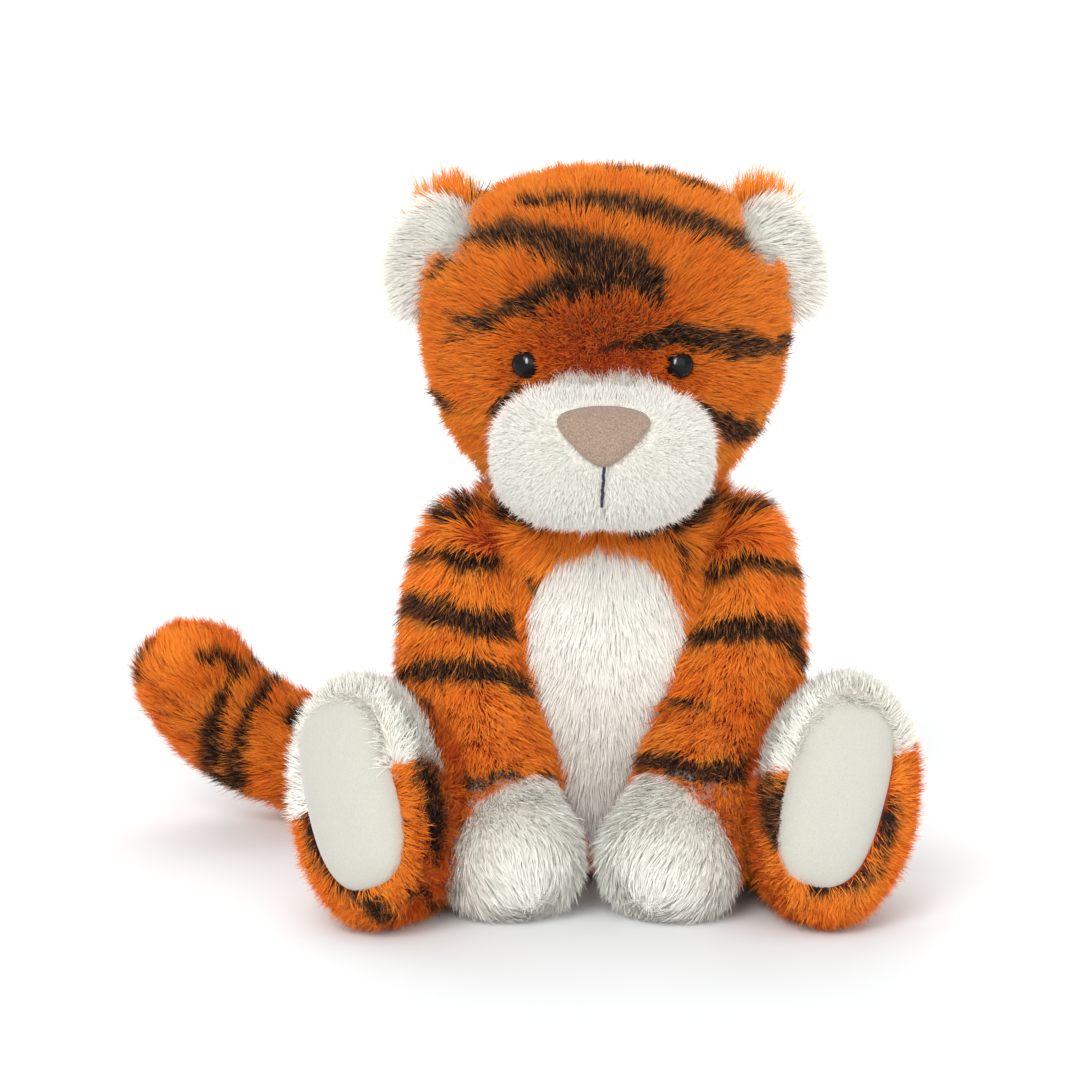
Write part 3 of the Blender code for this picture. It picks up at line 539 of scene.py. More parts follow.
def band(surface, tree, pixels, widths, back, strength):
    """A stripe that crosses a limb as the photograph shows and goes on round its back."""
    flat = surface.points.reshape(-1, 3)
    middle = flat.mean(0)
    spots = []
    for pixel in smooth_line(pixels, BAND_FRONT):
        nearest = np.argmin(np.sum((flat - hit(tree, pixel, middle)) ** 2, axis=1))
        spots.append((nearest // surface.sides, nearest % surface.sides))
    rows = [float(r) for r, _ in spots]
    columns = [float(spots[0][1])]
    for _, m in spots[1:]:
        step = (m - columns[-1] + surface.sides / 2) % surface.sides - surface.sides / 2
        columns.append(columns[-1] + step)
    turn = surface.sides * (1 if columns[-1] > columns[0] else -1)
    wide = list(np.interp(np.linspace(0, len(widths) - 1, len(rows)), range(len(widths)), widths))
    if back > 0:
        row, column, half = rows[-1], columns[-1], wide[-1]
        for t in np.linspace(0, 1, BAND_BACK)[1:]:
            rows.append(row + (rows[0] - row) * t + BAND_SWAY * math.sin(3 * math.pi * t))
            columns.append(column + (columns[0] + turn - column) * t)
            wide.append((half + (wide[0] - half) * t) * (1 - (1 - back) * math.sin(math.pi * t)))
    points = []
    for row, column in zip(rows, columns):
        r = min(max(int(round(row)), 0), surface.rings - 1)
        points.append(surface.points[r, int(round(column)) % surface.sides])
    return Stroke(points, np.array(wide) * STROKE_SHARE * PIXEL, strength)


WAVER, WAVER_SIZE = 0.0012, 0.011


def stripe_depth(p, strokes, seed):
    """The stripe's strength at each point, from 0 in orange to 1 in the dark, with wavering edges."""
    moved = p + np.stack([wobble(p, WAVER_SIZE, seed + k) for k in range(3)], 1) * WAVER
    total = np.zeros(len(p))
    for stroke in strokes:
        total = np.maximum(total, smooth(-0.6, 0.75, stroke.depth(moved)) * stroke.strength)
    return total


HEAD_MIDDLE = np.array([0.0, 0.0, 0.18])
HEAD_STROKES = [
    ([(522, 203), (568, 200), (606, 203), (645, 210), (674, 219), (703, 226), (727, 235), (752, 248),
      (778, 258)], (8, 14, 18, 19, 20, 20, 20, 17, 9), 0.95),
    ([(470, 240), (490, 234), (515, 233), (545, 241), (580, 250), (609, 259), (636, 270), (652, 284),
      (656, 298)], (10, 20, 22, 24, 27, 30, 28, 20, 10), 1.0),
    ([(640, 280), (610, 281), (580, 285), (550, 291), (521, 303), (498, 315), (477, 322), (454, 320)],
     (18, 20, 19, 17, 15, 12, 10, 5), 0.95),
    ([(583, 348), (615, 345), (645, 342), (674, 334), (703, 337), (733, 344), (762, 346), (792, 343)],
     (3, 5, 9, 15, 18, 18, 16, 14), 1.0),
    ([(431, 280), (443, 269), (453, 260)], (9, 12, 8), 0.9),
    ([(448, 334), (462, 334), (476, 338)], (4, 6, 3), 0.5),
    ([(434, 392), (444, 401), (458, 407)], (10, 15, 8), 1.0),
    ([(486, 411), (502, 402), (520, 393)], (6, 10, 5), 0.95),
    ([(700, 408), (716, 420), (734, 430), (752, 432), (774, 420)], (8, 15, 18, 16, 12), 1.0),
    ([(452, 196), (466, 184), (484, 181)], (9, 14, 10), 0.95),
    ([(540, 318), (580, 320), (622, 322), (660, 326)], (30, 48, 48, 30), 0.2),
]
TORSO_STROKES = [
    ([(624, 536), (645, 529), (674, 522), (697, 513), (712, 498)], (5, 9, 13, 14, 10)),
    ([(683, 543), (686, 556), (687, 574)], (6, 8, 6)),
    ([(500, 508), (518, 517), (540, 524)], (8, 10, 5)),
    ([(528, 575), (536, 596), (534, 612)], (5, 8, 5)),
    ([(532, 640), (541, 652), (548, 662)], (5, 8, 4)),
    ([(669, 640), (660, 650), (652, 660)], (5, 8, 4)),
]
ARM_STROKES = {
    -1: [
        ([(452, 497), (478, 503), (505, 516)], (10, 15, 12), 0.8, 1.0),
        ([(420, 556), (455, 557), (490, 562), (525, 563)], (9, 12, 11, 6), 0.8, 0.75),
        ([(402, 596), (424, 606), (450, 615), (492, 626), (528, 626)], (12, 17, 17, 16, 12), 0.8, 1.0),
        ([(402, 672), (430, 669), (453, 669), (492, 674), (520, 683), (538, 693)],
         (12, 16, 17, 17, 15, 10), 0.8, 1.0),
        ([(420, 768), (448, 776), (476, 783)], (8, 15, 8), 0.8, 1.0),
        ([(430, 806), (452, 819), (478, 827)], (6, 11, 6), 0.6, 0.8),
    ],
    1: [
        ([(712, 508), (735, 508), (760, 505)], (10, 14, 10), 0.8, 0.9),
        ([(695, 583), (716, 573), (740, 566), (768, 564), (798, 570)], (6, 10, 13, 12, 9), 0.8, 0.8),
        ([(676, 636), (702, 632), (731, 629), (760, 626), (788, 632), (817, 646)],
         (8, 14, 17, 18, 19, 14), 0.8, 1.0),
        ([(661, 697), (682, 701), (704, 706)], (5, 7, 4), 0.0, 0.7),
        ([(628, 752), (650, 758), (680, 765), (715, 770), (750, 770), (784, 766)],
         (8, 14, 17, 18, 16, 12), 0.8, 1.0),
        ([(660, 811), (685, 820), (708, 828), (728, 838)], (6, 9, 9, 5), 0.0, 0.9),
    ],
}
LEG_STROKES = {
    -1: [
        ([(300, 812), (304, 838), (318, 862)], (9, 12, 8), 1.0),
        ([(352, 903), (374, 914), (398, 920)], (8, 12, 8), 0.9),
        ([(414, 762), (426, 790), (435, 822), (441, 858)], (9, 15, 15, 8), 0.8),
        ([(412, 894), (428, 902), (446, 905)], (6, 9, 6), 0.6),
        ([(430, 772), (440, 806), (438, 842)], (20, 26, 20), 0.5),
        ([(300, 816), (306, 852), (336, 890), (388, 914)], (14, 17, 17, 14), 0.42),
    ],
    1: [
        ([(806, 893), (826, 891), (846, 884)], (8, 12, 6), 0.9),
        ([(762, 790), (768, 812), (778, 840)], (8, 13, 8), 0.9),
        ([(884, 795), (894, 818), (898, 844)], (8, 12, 8), 1.0),
        ([(735, 875), (752, 892), (772, 902)], (6, 10, 6), 0.6),
        ([(768, 776), (772, 806), (776, 836)], (16, 20, 16), 0.5),
        ([(898, 800), (892, 850), (866, 884), (826, 898)], (14, 17, 17, 12), 0.42),
    ],
}
LEG_BANDS = ((0.3, 16), (0.44, 20), (0.58, 19), (0.71, 17))
TAIL_STROKES = [
    ([(133, 637), (134, 660), (140, 690)], (9, 14, 9), 0.0, 0.9),
    ([(205, 654), (220, 657), (238, 663)], (8, 12, 7), 0.0, 0.9),
    ([(228, 684), (216, 712), (211, 745), (214, 775), (226, 802)], (8, 14, 17, 15, 10), 0.8, 1.0),
    ([(252, 713), (243, 735), (237, 762), (236, 790), (240, 810)], (8, 13, 15, 13, 8), 0.8, 1.0),
    ([(298, 708), (296, 718), (300, 728)], (7, 9, 6), 0.0, 0.8),
]
TAIL_BANDS = (0.34, 0.46, 0.83)
EAR_STRIPE = [(-0.048, 0.002, 0.232), (-0.043, 0.003, 0.226), (-0.04, 0.004, 0.22)]

# Behind, where the photograph shows nothing: the crest, then height, reach aside and width of each stripe
CREST = [(0.001, -0.004, 0.24), (0.014, -0.004, 0.24), (0.027, -0.006, 0.236), (0.0385, -0.008, 0.23)]
HEAD_BACK = ((0.222, 0.034, 13), (0.204, 0.047, 19), (0.183, 0.05, 17), (0.161, 0.046, 18), (0.14, 0.036, 14))
BODY_BACK = ((0.114, 15), (0.097, 19), (0.078, 18), (0.059, 19), (0.041, 16))
HEAD_BACK_SEED, BODY_BACK_SEED = 77, 78


def head_strokes():
    tree = HEAD_SHELL.tree()
    strokes = [drawn(tree, pixels, widths, HEAD_MIDDLE, power) for pixels, widths, power in HEAD_STROKES]
    strokes.append(laid(tree, CREST, (9, 17, 18, 12)))
    rng = np.random.default_rng(HEAD_BACK_SEED)
    for height, spread, width in HEAD_BACK:
        for side in SIDES:
            dip, shift, reach, start = rng.uniform((0.004, -0.003, 0.78, -0.004), (0.011, 0.003, 1.12, 0.012))
            z, x, wide = height + shift, side * spread * reach, width * rng.uniform(0.75, 1.2)
            line = [(x, 0.03, z - dip), (x * 0.68, 0.05, z - dip * rng.uniform(0.1, 0.7)),
                    (x * 0.34, 0.06, z + rng.uniform(-0.001, 0.004)), (side * start, 0.06, z + dip * 0.4)]
            strokes.append(laid(tree, line, (4, wide, wide * rng.uniform(0.7, 1.2), 5)))
    return strokes


TORSO_MIDDLE = np.array([0.0, 0.0, 0.07])


def torso_strokes():
    tree = TORSO_SHELL.tree()
    strokes = [drawn(tree, pixels, widths, TORSO_MIDDLE) for pixels, widths in TORSO_STROKES]
    rng = np.random.default_rng(BODY_BACK_SEED)
    for height, width in BODY_BACK:
        for side in SIDES:
            shift, sag, start, wide = rng.uniform((-0.004, 0.002, -0.005, 0.75), (0.004, 0.01, 0.009, 1.2))
            z, wide = height + shift, wide * width
            line = [(side * 0.037, -0.012, z - sag), (side * 0.037, 0.012, z - sag * 0.9),
                    (side * 0.028, 0.036, z - sag * 0.3), (side * 0.014, 0.042, z + rng.uniform(0, 0.005)),
                    (side * start, 0.042, z + 0.005)]
            strokes.append(laid(tree, line, (5, 11, wide, wide * rng.uniform(0.7, 1.15), 4)))
    return strokes


def bands(surface, rows):
    tree = surface.tree()
    return [band(surface, tree, *row) for row in rows]


def round_back(surface, row, middle, reach, bend, wave):
    """Points along a ring from one side of a place on it to the other, which waver along the form."""
    return [surface.points[row + int(bend * math.sin(wave * c)), (middle + c) % surface.sides]
            for c in range(-reach, reach + 1, 2)]


def leg_strokes(side):
    surface = LEG_SHELLS[side]
    points = surface.points
    tree = surface.tree()
    middle = points.reshape(-1, 3).mean(0)
    strokes = [drawn(tree, pixels, widths, middle, power) for pixels, widths, power in LEG_STROKES[side]]
    for share, width in LEG_BANDS:
        row = int(share * (surface.rings - 1))
        upper = np.argmax(points[row, :, 2] + 0.5 * np.sign(side) * points[row, :, 0])
        line = round_back(surface, row, upper, 16, 2.5, 0.35)
        strokes.append(Stroke(line, widths_for(len(line), (6, width, width, width, 6))))
    return strokes


def tail_strokes():
    strokes = bands(TAIL_SHELL, TAIL_STROKES)
    points = TAIL_SHELL.points
    behind = points.reshape(-1, 3).mean(0) + np.array([0, 0.2, 0])
    for share in TAIL_BANDS:
        row = int(share * (TAIL_SHELL.rings - 1))
        far = int(np.argmin(np.linalg.norm(points[row] - behind, axis=1)))
        line = round_back(TAIL_SHELL, row, far, 12, 2, 0.3)
        strokes.append(Stroke(line, widths_for(len(line), (6, 16, 17, 16, 6))))
    return strokes


# Materials

LAYER = "pile"


def noise_in(tree, scale, detail):
    """Noise over the piece's own space."""
    place = tree.nodes.new("ShaderNodeTexCoord")
    noise = tree.nodes.new("ShaderNodeTexNoise")
    noise.inputs["Scale"].default_value = scale
    noise.inputs["Detail"].default_value = detail
    tree.links.new(place.outputs["Object"], noise.inputs["Vector"])
    return noise.outputs["Fac"]


def material(name, roughness, sheen=0.0, specular=0.3, bump=None, colour=None, tint=None):
    """A Principled finish in one colour, in a tint between two, or else in the piece's own colour layer."""
    made = bpy.data.materials.new(name)
    made.use_nodes = True
    tree = made.node_tree
    shader = tree.nodes["Principled BSDF"]
    for socket, value in (("Roughness", roughness), ("Sheen Weight", sheen), ("Sheen Roughness", 0.5),
                          ("Specular IOR Level", specular)):
        shader.inputs[socket].default_value = value
    if colour:
        shader.inputs["Base Color"].default_value = (*colour, 1)
    elif tint:
        dark, light, scale = tint
        ramp = tree.nodes.new("ShaderNodeValToRGB")
        for stop, place, shade in zip(ramp.color_ramp.elements, (0.3, 0.7), (dark, light)):
            stop.position = place
            stop.color = (*shade, 1)
        tree.links.new(noise_in(tree, scale, 6.0), ramp.inputs["Fac"])
        tree.links.new(ramp.outputs["Color"], shader.inputs["Base Color"])
    else:
        layer = tree.nodes.new("ShaderNodeVertexColor")
        layer.layer_name = LAYER
        tree.links.new(layer.outputs["Color"], shader.inputs["Base Color"])
    if bump:
        scale, strength, distance = bump
        height = tree.nodes.new("ShaderNodeBump")
        height.inputs["Strength"].default_value = strength
        height.inputs["Distance"].default_value = distance
        tree.links.new(noise_in(tree, scale, 8.0), height.inputs["Height"])
        tree.links.new(height.outputs["Normal"], shader.inputs["Normal"])
    return made


ORANGE_FUR = material("orange_plush_pile", 0.7, 0.05, specular=0.14)
CREAM_FUR = material("cream_plush_pile", 0.8, 0.2, specular=0.2)
BACKING = material("plush_backing", 0.95, 0.1, bump=(900, 0.5, 0.0006))
VELOUR = material("cream_velour_nap", 0.85, 0.5, bump=(2600, 0.5, 0.0003),
                  tint=((0.47, 0.455, 0.4), (0.54, 0.525, 0.465), 2100))
NOSE = material("nose_velour_nap", 0.8, 0.3, bump=(3400, 0.8, 0.0003),
                tint=((0.2, 0.133, 0.095), (0.42, 0.305, 0.23), 1900))
THREAD = material("mouth_thread_twist", 0.6, 0.2, bump=(5000, 0.5, 0.0001),
                  tint=((0.006, 0.008, 0.02), (0.026, 0.032, 0.065), 1500))
EYE = material("eye_gloss", 0.14, bump=(350, 0.06, 0.00004), specular=0.16,
               tint=((0.0012, 0.0012, 0.0018), (0.0036, 0.003, 0.003), 260))
NYLON = material("washer_nylon_cast", 0.5, bump=(800, 0.1, 0.0001),
                 tint=((0.74, 0.74, 0.71), (0.82, 0.82, 0.8), 300))
FLOOR = material("floor_paper", 0.9, colour=(0.845, 0.865, 0.87))


# Pieces


def mesh_object(name, verts, loops, sizes, finish, colours=None, uvs=None):
    """A mesh object from arrays, with a colour for each vertex and a place in the bake for each corner."""
    data = bpy.data.meshes.new(name)
    verts = np.asarray(verts, np.float32)
    loops = np.asarray(loops, np.int32)
    sizes = np.asarray(sizes, np.int32)
    data.vertices.add(len(verts))
    data.vertices.foreach_set("co", verts.ravel())
    data.loops.add(len(loops))
    data.loops.foreach_set("vertex_index", loops)
    data.polygons.add(len(sizes))
    starts = np.concatenate([[0], np.cumsum(sizes)[:-1]]).astype(np.int32)
    data.polygons.foreach_set("loop_start", starts)
    data.update(calc_edges=True)
    data.polygons.foreach_set("use_smooth", np.ones(len(sizes), bool))
    if colours is not None:
        layer = data.color_attributes.new(LAYER, "FLOAT_COLOR", "POINT")
        rgba = np.ones((len(verts), 4), np.float32)
        rgba[:, :3] = colours
        layer.data.foreach_set("color", rgba.ravel())
    if uvs is not None:
        layer = data.uv_layers.new(name="OFBake")
        layer.data.foreach_set("uv", np.asarray(uvs, np.float32).ravel())
    data.materials.append(finish)
    obj = bpy.data.objects.new(name, data)
    bpy.context.scene.collection.objects.link(obj)
    return obj


def settle(obj, body, replaced=()):
    """Says what a piece rides on, and hides the solids that it stands in for."""
    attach(obj, body)
    if replaced:
        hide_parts(*replaced)
    return obj


def faced(name, mesh, finish, colours=None):
    """A mesh object from vertices and faces."""
    verts, faces = mesh
    return mesh_object(name, verts, [v for f in faces for v in f], [len(f) for f in faces], finish, colours)


def skin_piece(name, surface, body, replaced, colour_of):
    """The backing of a stuffed form."""
    colours = colour_of(shell(surface).mesh()[0])
    settle(faced(name, surface.mesh(), BACKING, colours), body, replaced)


# A strand is two quads and a triangle: where its points lie along it, how wide it is there, the corners of
# its faces, and where its seven points lie in its cell of the bake
SECTIONS = np.array([0.0, 0.38, 0.74, 1.0])
TAPER = np.array([1.0, 0.92, 0.62, 0.0])
STRAND_POINTS, STRAND_FACES = 7, [4, 4, 3]
STRAND_LOOPS = np.array([0, 1, 3, 2, 2, 3, 5, 4, 4, 5, 6])
STRAND_CELL = np.array([(0.1, 0.05), (0.9, 0.05), (0.15, 0.38), (0.85, 0.38), (0.25, 0.72), (0.75, 0.72),
                        (0.5, 0.95)])
MOST_STRANDS = 39000


def strand_values(left, right, tip):
    """What the seven points of each strand have, from its left and right edges and its tip."""
    values = np.empty((len(tip), STRAND_POINTS, 3), np.float32)
    values[:, 0:6:2] = left
    values[:, 1:6:2] = right
    values[:, 6] = tip
    return values.reshape(-1, 3)


def ribbons(name, body, finish, centre, across, widths, colours):
    """Tapered ribbons along centre lines of four points, in pieces that stay under the size limit."""
    count = len(centre)
    pieces = max(1, math.ceil(count / MOST_STRANDS))
    for index in range(pieces):
        pick = slice(index * count // pieces, (index + 1) * count // pieces)
        c, a, w, shade = centre[pick], across[pick], widths[pick], colours[pick]
        n = len(c)
        half = (a * (w[:, :, None] * 0.5))[:, :3]
        verts = strand_values(c[:, :3] - half, c[:, :3] + half, c[:, 3])
        loops = (np.arange(n)[:, None] * STRAND_POINTS + STRAND_LOOPS).ravel()
        grid = math.ceil(math.sqrt(n))
        cell = np.stack([np.arange(n) % grid, np.arange(n) // grid], 1)
        uvs = ((cell[:, None] + STRAND_CELL[STRAND_LOOPS][None]) / grid).reshape(-1, 2)
        label = name if pieces == 1 else f"{name}_{index + 1}"
        obj = mesh_object(label, verts, loops, np.tile(STRAND_FACES, n), finish,
                          strand_values(shade[:, :3], shade[:, :3], shade[:, 3]), uvs)
        settle(obj, body)


TUFT_SHARE = 0.05


def clumped(root, tips, rng):
    """How far each tip moves to meet the other tips of its tuft."""
    picked = np.flatnonzero(rng.random(len(root)) < TUFT_SHARE)
    if len(picked) < 4:
        return np.zeros_like(root)
    tree = KDTree(len(picked))
    for number, index in enumerate(picked):
        tree.insert(Vector(root[index]), number)
    tree.balance()
    nearest = np.array([tree.find(Vector(p))[1] for p in root])
    return tips[picked[nearest]] - tips


# Strands: guard hairs are longer and finer than the wool between them. All strands droop, start under the
# backing and stay over the floor
GUARD_SHARE, GUARD_LENGTHS, GUARD_FINE = 0.16, (1.05, 1.38), 0.8
WOOL_LENGTHS, THICKNESSES = (0.7, 1.06), (0.75, 1.2)
DROOP, DROOP_OUT = 0.2, 0.55
ROOT_DEPTH = 0.0004
LOWEST, LOWEST_SPREAD = 0.0003, 0.0012
LIFTS = (0.15, 1.45)
YAW_WAVE, YAW_SIZE = 0.4, 0.012
LIFT_STIR, LIFT_WAVE, LIFT_SIZE = 0.16, 0.15, 0.009
ROLL = 0.5
CLUMP_BEND = 1.6


def grow(name, body, slot, finish, root, normal, flow, length, lift, colours, seed,
         width=0.00033, clump=0.2, jitter=0.24, ruffle=1.0):
    """Fur from roots: each strand leaves at its lift, bends over along the flow and joins its tuft."""
    rng = np.random.default_rng(seed)
    count = len(root)
    flow = unit(flow - normal * np.sum(flow * normal, axis=1, keepdims=True))
    side = np.cross(normal, flow)
    yaw = rng.normal(0, jitter, count) + YAW_WAVE * ruffle * wobble(root, YAW_SIZE, seed + 7)
    way = flow * np.cos(yaw)[:, None] + side * np.sin(yaw)[:, None]
    stir = ruffle * (rng.normal(0, LIFT_STIR, count) + LIFT_WAVE * wobble(root, LIFT_SIZE, seed + 9))
    rise = np.clip(lift + stir, *LIFTS)
    guard = rng.random(count) < GUARD_SHARE
    long = length * np.where(guard, rng.uniform(*GUARD_LENGTHS, count), rng.uniform(*WOOL_LENGTHS, count))
    t = SECTIONS[None, :, None]
    up = (np.sin(rise)[:, None, None] * t - DROOP * t**2) * long[:, None, None]
    out = (np.cos(rise)[:, None, None] * t + DROOP * DROOP_OUT * t**2) * long[:, None, None]
    centre = root[:, None] + normal[:, None] * up + way[:, None] * out
    centre[:, 0] -= normal * ROOT_DEPTH
    if np.any(clump):
        share = np.broadcast_to(clump, count)[:, None]
        centre += (clumped(root, centre[:, 3], rng) * share)[:, None] * t**CLUMP_BEND
    low = LOWEST + LOWEST_SPREAD * rng.random(count)[:, None]
    centre[..., 2] = np.maximum(centre[..., 2], low)
    tangent = unit(np.gradient(centre, axis=1))
    across = unit(np.cross(tangent, normal[:, None]))
    roll = rng.normal(0, ROLL, count)[:, None, None]
    across = across * np.cos(roll) + np.cross(tangent, across) * np.sin(roll)
    thick = width * rng.uniform(*THICKNESSES, count) * np.where(guard, GUARD_FINE, 1.0)
    ribbons(name, body, finish, centre, across, thick[:, None] * TAPER, colours)


def lit(colour, rng, spread=0.08):
    """A colour for each strand, a little lighter or darker than the next."""
    return colour * (1 + rng.normal(0, spread, len(colour)))[:, None]


def leaned(root, normal, way, length, lift):
    """Where the middle of each strand lies, which is what the eye sees of it."""
    flat = unit(way - normal * np.sum(way * normal, axis=1, keepdims=True))
    reach = 0.6 * np.cos(np.asarray(lift))
    return root + flat * (np.asarray(length) * reach)[:, None] + normal * PILE_LEVEL


# How the orange pile is coloured: the tips' own light, the share of dark strands that end dark, the share of
# those that are flecked with brown, the ranges of brown and of gold, and how red the face's middle gets
TIP_LIGHT = np.array([1.04, 1.12, 1.2])
DARK_ENDS, FLECKED, FLECKS, FROST = 0.84, 0.7, (0.8, 2.8), (0.5, 1.15)
REDDEST = 0.75
PALEST_ORANGE, PALEST_CREAM, BLACKEST = 0.95, 0.96, 0.002


def orange_colours(root, strokes, seed, red=None, tone_and_painted_light=1.0):
    """The four colours down each orange strand, dark where a stripe crosses it."""
    rng = np.random.default_rng(seed + 500)
    count = len(root)
    depth = stripe_depth(root, strokes, seed)
    draw = rng.random(count)
    dark_root = draw < smooth(0.05, 0.6, depth)
    dark_end = draw < DARK_ENDS * smooth(0.15, 0.85, depth)
    frosted = (dark_root & ~dark_end)[:, None]
    patch = 0.5 + 0.5 * wobble(root, 0.02, seed + 11)
    hue = np.clip(patch * 0.6 + rng.random(count) * 0.5, 0, 1)[:, None]
    # This factor scales the orange; on the head, arms and legs it is painted light and shade, and on the ears
    # it makes them lighter and yellower.
    body = (ORANGE * (1 - hue) + BRIGHT * hue) * tone_and_painted_light
    if red is not None:
        body = body * (1 - red[:, None] * REDDEST) + RUST * red[:, None] * REDDEST
    low = ROOT + (body - ROOT) * 0.4
    tip = body * 0.8 + BRIGHT * TIP_LIGHT * 0.2
    body = np.where(frosted, GOLD * rng.uniform(*FROST, (count, 1)), body)
    tip = np.where(frosted, body, tip)
    flecked = rng.random(count) < FLECKED
    dark_tip = np.where(flecked[:, None], BROWN * rng.uniform(*FLECKS, (count, 1)), DARK * 1.6)
    tones = np.stack([lit(low, rng), lit(body * 0.93, rng), lit(body, rng), lit(tip, rng)], 1)
    darks = [np.tile(DARK, (count, 1))] * 2 + [lit(np.tile(DARK * 1.3, (count, 1)), rng, 0.2), dark_tip]
    which = np.stack([dark_root, dark_root, dark_end, dark_end], 1)[:, :, None]
    return np.clip(np.where(which, np.stack(darks, 1), tones), BLACKEST, PALEST_ORANGE)


def cream_colours(root, seed, blush=None):
    """The four colours down each cream strand, pinker where orange fur lies next to it."""
    rng = np.random.default_rng(seed + 900)
    body = np.tile(CREAM, (len(root), 1))
    if blush is not None:
        body = body * (1 - blush[:, None]) + BLUSH * blush[:, None]
    shades = (body * (CREAM_ROOT / CREAM), 0.03), (body * 0.98, 0.03), (body, 0.02), (body, 0.02)
    return np.clip(np.stack([lit(shade, rng, spread) for shade, spread in shades], 1), BLACKEST, PALEST_CREAM)


LONG = 0.0094
LIFT = 0.88
WHITE = {"width": 0.0003, "ruffle": 0.45, "jitter": 0.14, "clump": 0.12}


def orange_pile(name, body, roots, strokes, seeds, red=None, tone_and_painted_light=1.0, **manner):
    """Orange fur on roots, which are given as place, normal, way, length and lift."""
    colours = orange_colours(leaned(*roots), strokes, seeds[0], red, tone_and_painted_light)
    grow(name, body, "orange_plush", ORANGE_FUR, *roots, colours, seeds[1], **manner)


def cream_pile(name, body, roots, colours, seed, **manner):
    """Cream fur on roots, which are given as place, normal, way, length and lift."""
    grow(name, body, "cream_plush", CREAM_FUR, *roots, colours, seed, **{**WHITE, **manner})


def turned_about(points, pivot, axis, degrees):
    angle = math.radians(degrees)
    rel = points - pivot
    axis = unit(axis)
    return (pivot + rel * math.cos(angle) + np.cross(axis, rel) * math.sin(angle)
            + np.outer(rel @ axis, axis) * (1 - math.cos(angle)))


BURIED, BURIED_REACH = 0.0012, 0.03


def buried(points, tree):
    """Which points lie well inside a skin."""
    inside = np.zeros(len(points), bool)
    for index, p in enumerate(points):
        place, normal, _, gap = tree.find_nearest(Vector(p), BURIED_REACH)
        if place is not None:
            inside[index] = (Vector(p) - place).dot(normal) < 0 and gap > BURIED
    return inside


def exposed(root, own, others):
    """Which roots show at rest or at some pose. own lists the body's turns, as pivot, axis and degrees."""
    keep = np.zeros(len(root), bool)
    for turn in [None, *own]:
        moved = root if turn is None else turned_about(root, *turn)
        hidden = np.zeros(len(root), bool)
        for tree in others:
            left = np.flatnonzero(~keep & ~hidden)
            hidden[left] = buried(moved[left], tree)
        keep |= ~hidden
    return keep


def chosen(keep, *arrays):
    return [a[keep] for a in arrays]


def swings(pivot, axis, degrees):
    """A joint's turns half way and at its limit."""
    return [(pivot, axis, degrees * share) for share in (0.5, 1)]


def resting(root, normal, steep, height=0.002):
    """Which roots face down below a height, where nothing shows."""
    return (normal[:, 2] < -steep) & (root[:, 2] < height)


def from_front(tree, x, z, start=-0.3):
    """Where a skin is met from the front, and its normal there."""
    place, way, _, _ = tree.ray_cast(Vector((x, start, z)), Vector((0, 1, 0)))
    return np.array(place), np.array(way)


# How far the joints swing, in degrees, and how densely the fur grows, in strands a square metre
ARM_AXIS, LEG_AXIS, TAIL_AXIS = -RIGHT, UP, -UP
ARM_SWING, LEG_SWING, TAIL_SWING = 30, 12, 60
NECK_HIDDEN = 0.03
DENSITY = 3.7e6 * DETAIL
MUZZLE_DENSITY, EAR_DENSITY = 5.6e6 * DETAIL, 4.6e6 * DETAIL
# Painted light and shade on the orange pile: the head's and the legs' are darkened and the arms' lightened,
# to even out how the lamps fall on them. The ears' orange is made lighter and yellower.
HEAD_PAINTED_SHADE, ARM_PAINTED_LIGHT, LEG_PAINTED_SHADE = 0.84, 1.1, 0.93
EAR_TONE = np.array([1.1, 1.35, 1.6])

# Seeds: the stripes' wavering edges, which the fur and the backing share, the roots and the strands
TORSO_SEED, TORSO_ROOTS, TORSO_STRANDS = 21, 3, 31
BIB_SEED, BIB_STRANDS = 41, 33
HEAD_SEED, HEAD_ROOTS, HEAD_STRANDS = 51, 5, 53
MUZZLE_SEED, MUZZLE_ROOTS, MUZZLE_STRANDS = 61, 7, 63
TUFT_SEED, TUFT_STRANDS = 88, 90
EAR_SEED, EAR_ROOTS, EAR_STRANDS = 81, 70, 85
LINING_SEED, LINING_STRANDS = 73, 75
ARM_SEED, ARM_ROOTS, ARM_STRANDS = 101, 110, 121
PAW_SEED, PAW_STRANDS, PAW_WAVE = 131, 135, 17
LEG_SEED, LEG_ROOTS, LEG_STRANDS = 151, 160, 171
TOE_SEED, TOE_STRANDS, TOE_WAVES = 181, 185, (19, 23)
TAIL_SEED, TAIL_ROOTS, TAIL_STRANDS = 201, 9, 203


def flat_skin_colour(strokes, seed):
    """The backing's colour: the stripes in a darker colour, so that thin fur shows no gaps."""

    def colour(verts):
        depth = stripe_depth(verts, strokes, seed)[:, None]
        return (ROOT * 1.25) * (1 - depth) + DARK * depth

    return colour


def plain_colour(value):
    return lambda verts: np.tile(value, (len(verts), 1))


def bib_half(z):
    """Half the bib's width at a height, or under 0 past its ends."""
    middle, reach = (BIB_TOP + BIB_BOTTOM) / 2, (BIB_TOP - BIB_BOTTOM) / 2
    c = (z - middle) / reach
    inside = np.clip(1 - c**2, 0, None)
    return np.where(np.abs(c) < 1, BIB_HALF * (1 + BIB_TAPER * c) * np.sqrt(inside), -1.0)


def bib_edge(root):
    """How far inside the bib's seam each point lies. The bib's pile starts a little below its lower end."""
    height = root[:, 2]
    low = 0.72 * smooth(BIB_BOTTOM - 0.014, BIB_BOTTOM + 0.02, height)
    low = np.where(height < BIB_BOTTOM + 0.02, low, 0.0)
    return np.maximum(bib_half(height), low * BIB_HALF) - np.abs(root[:, 0])


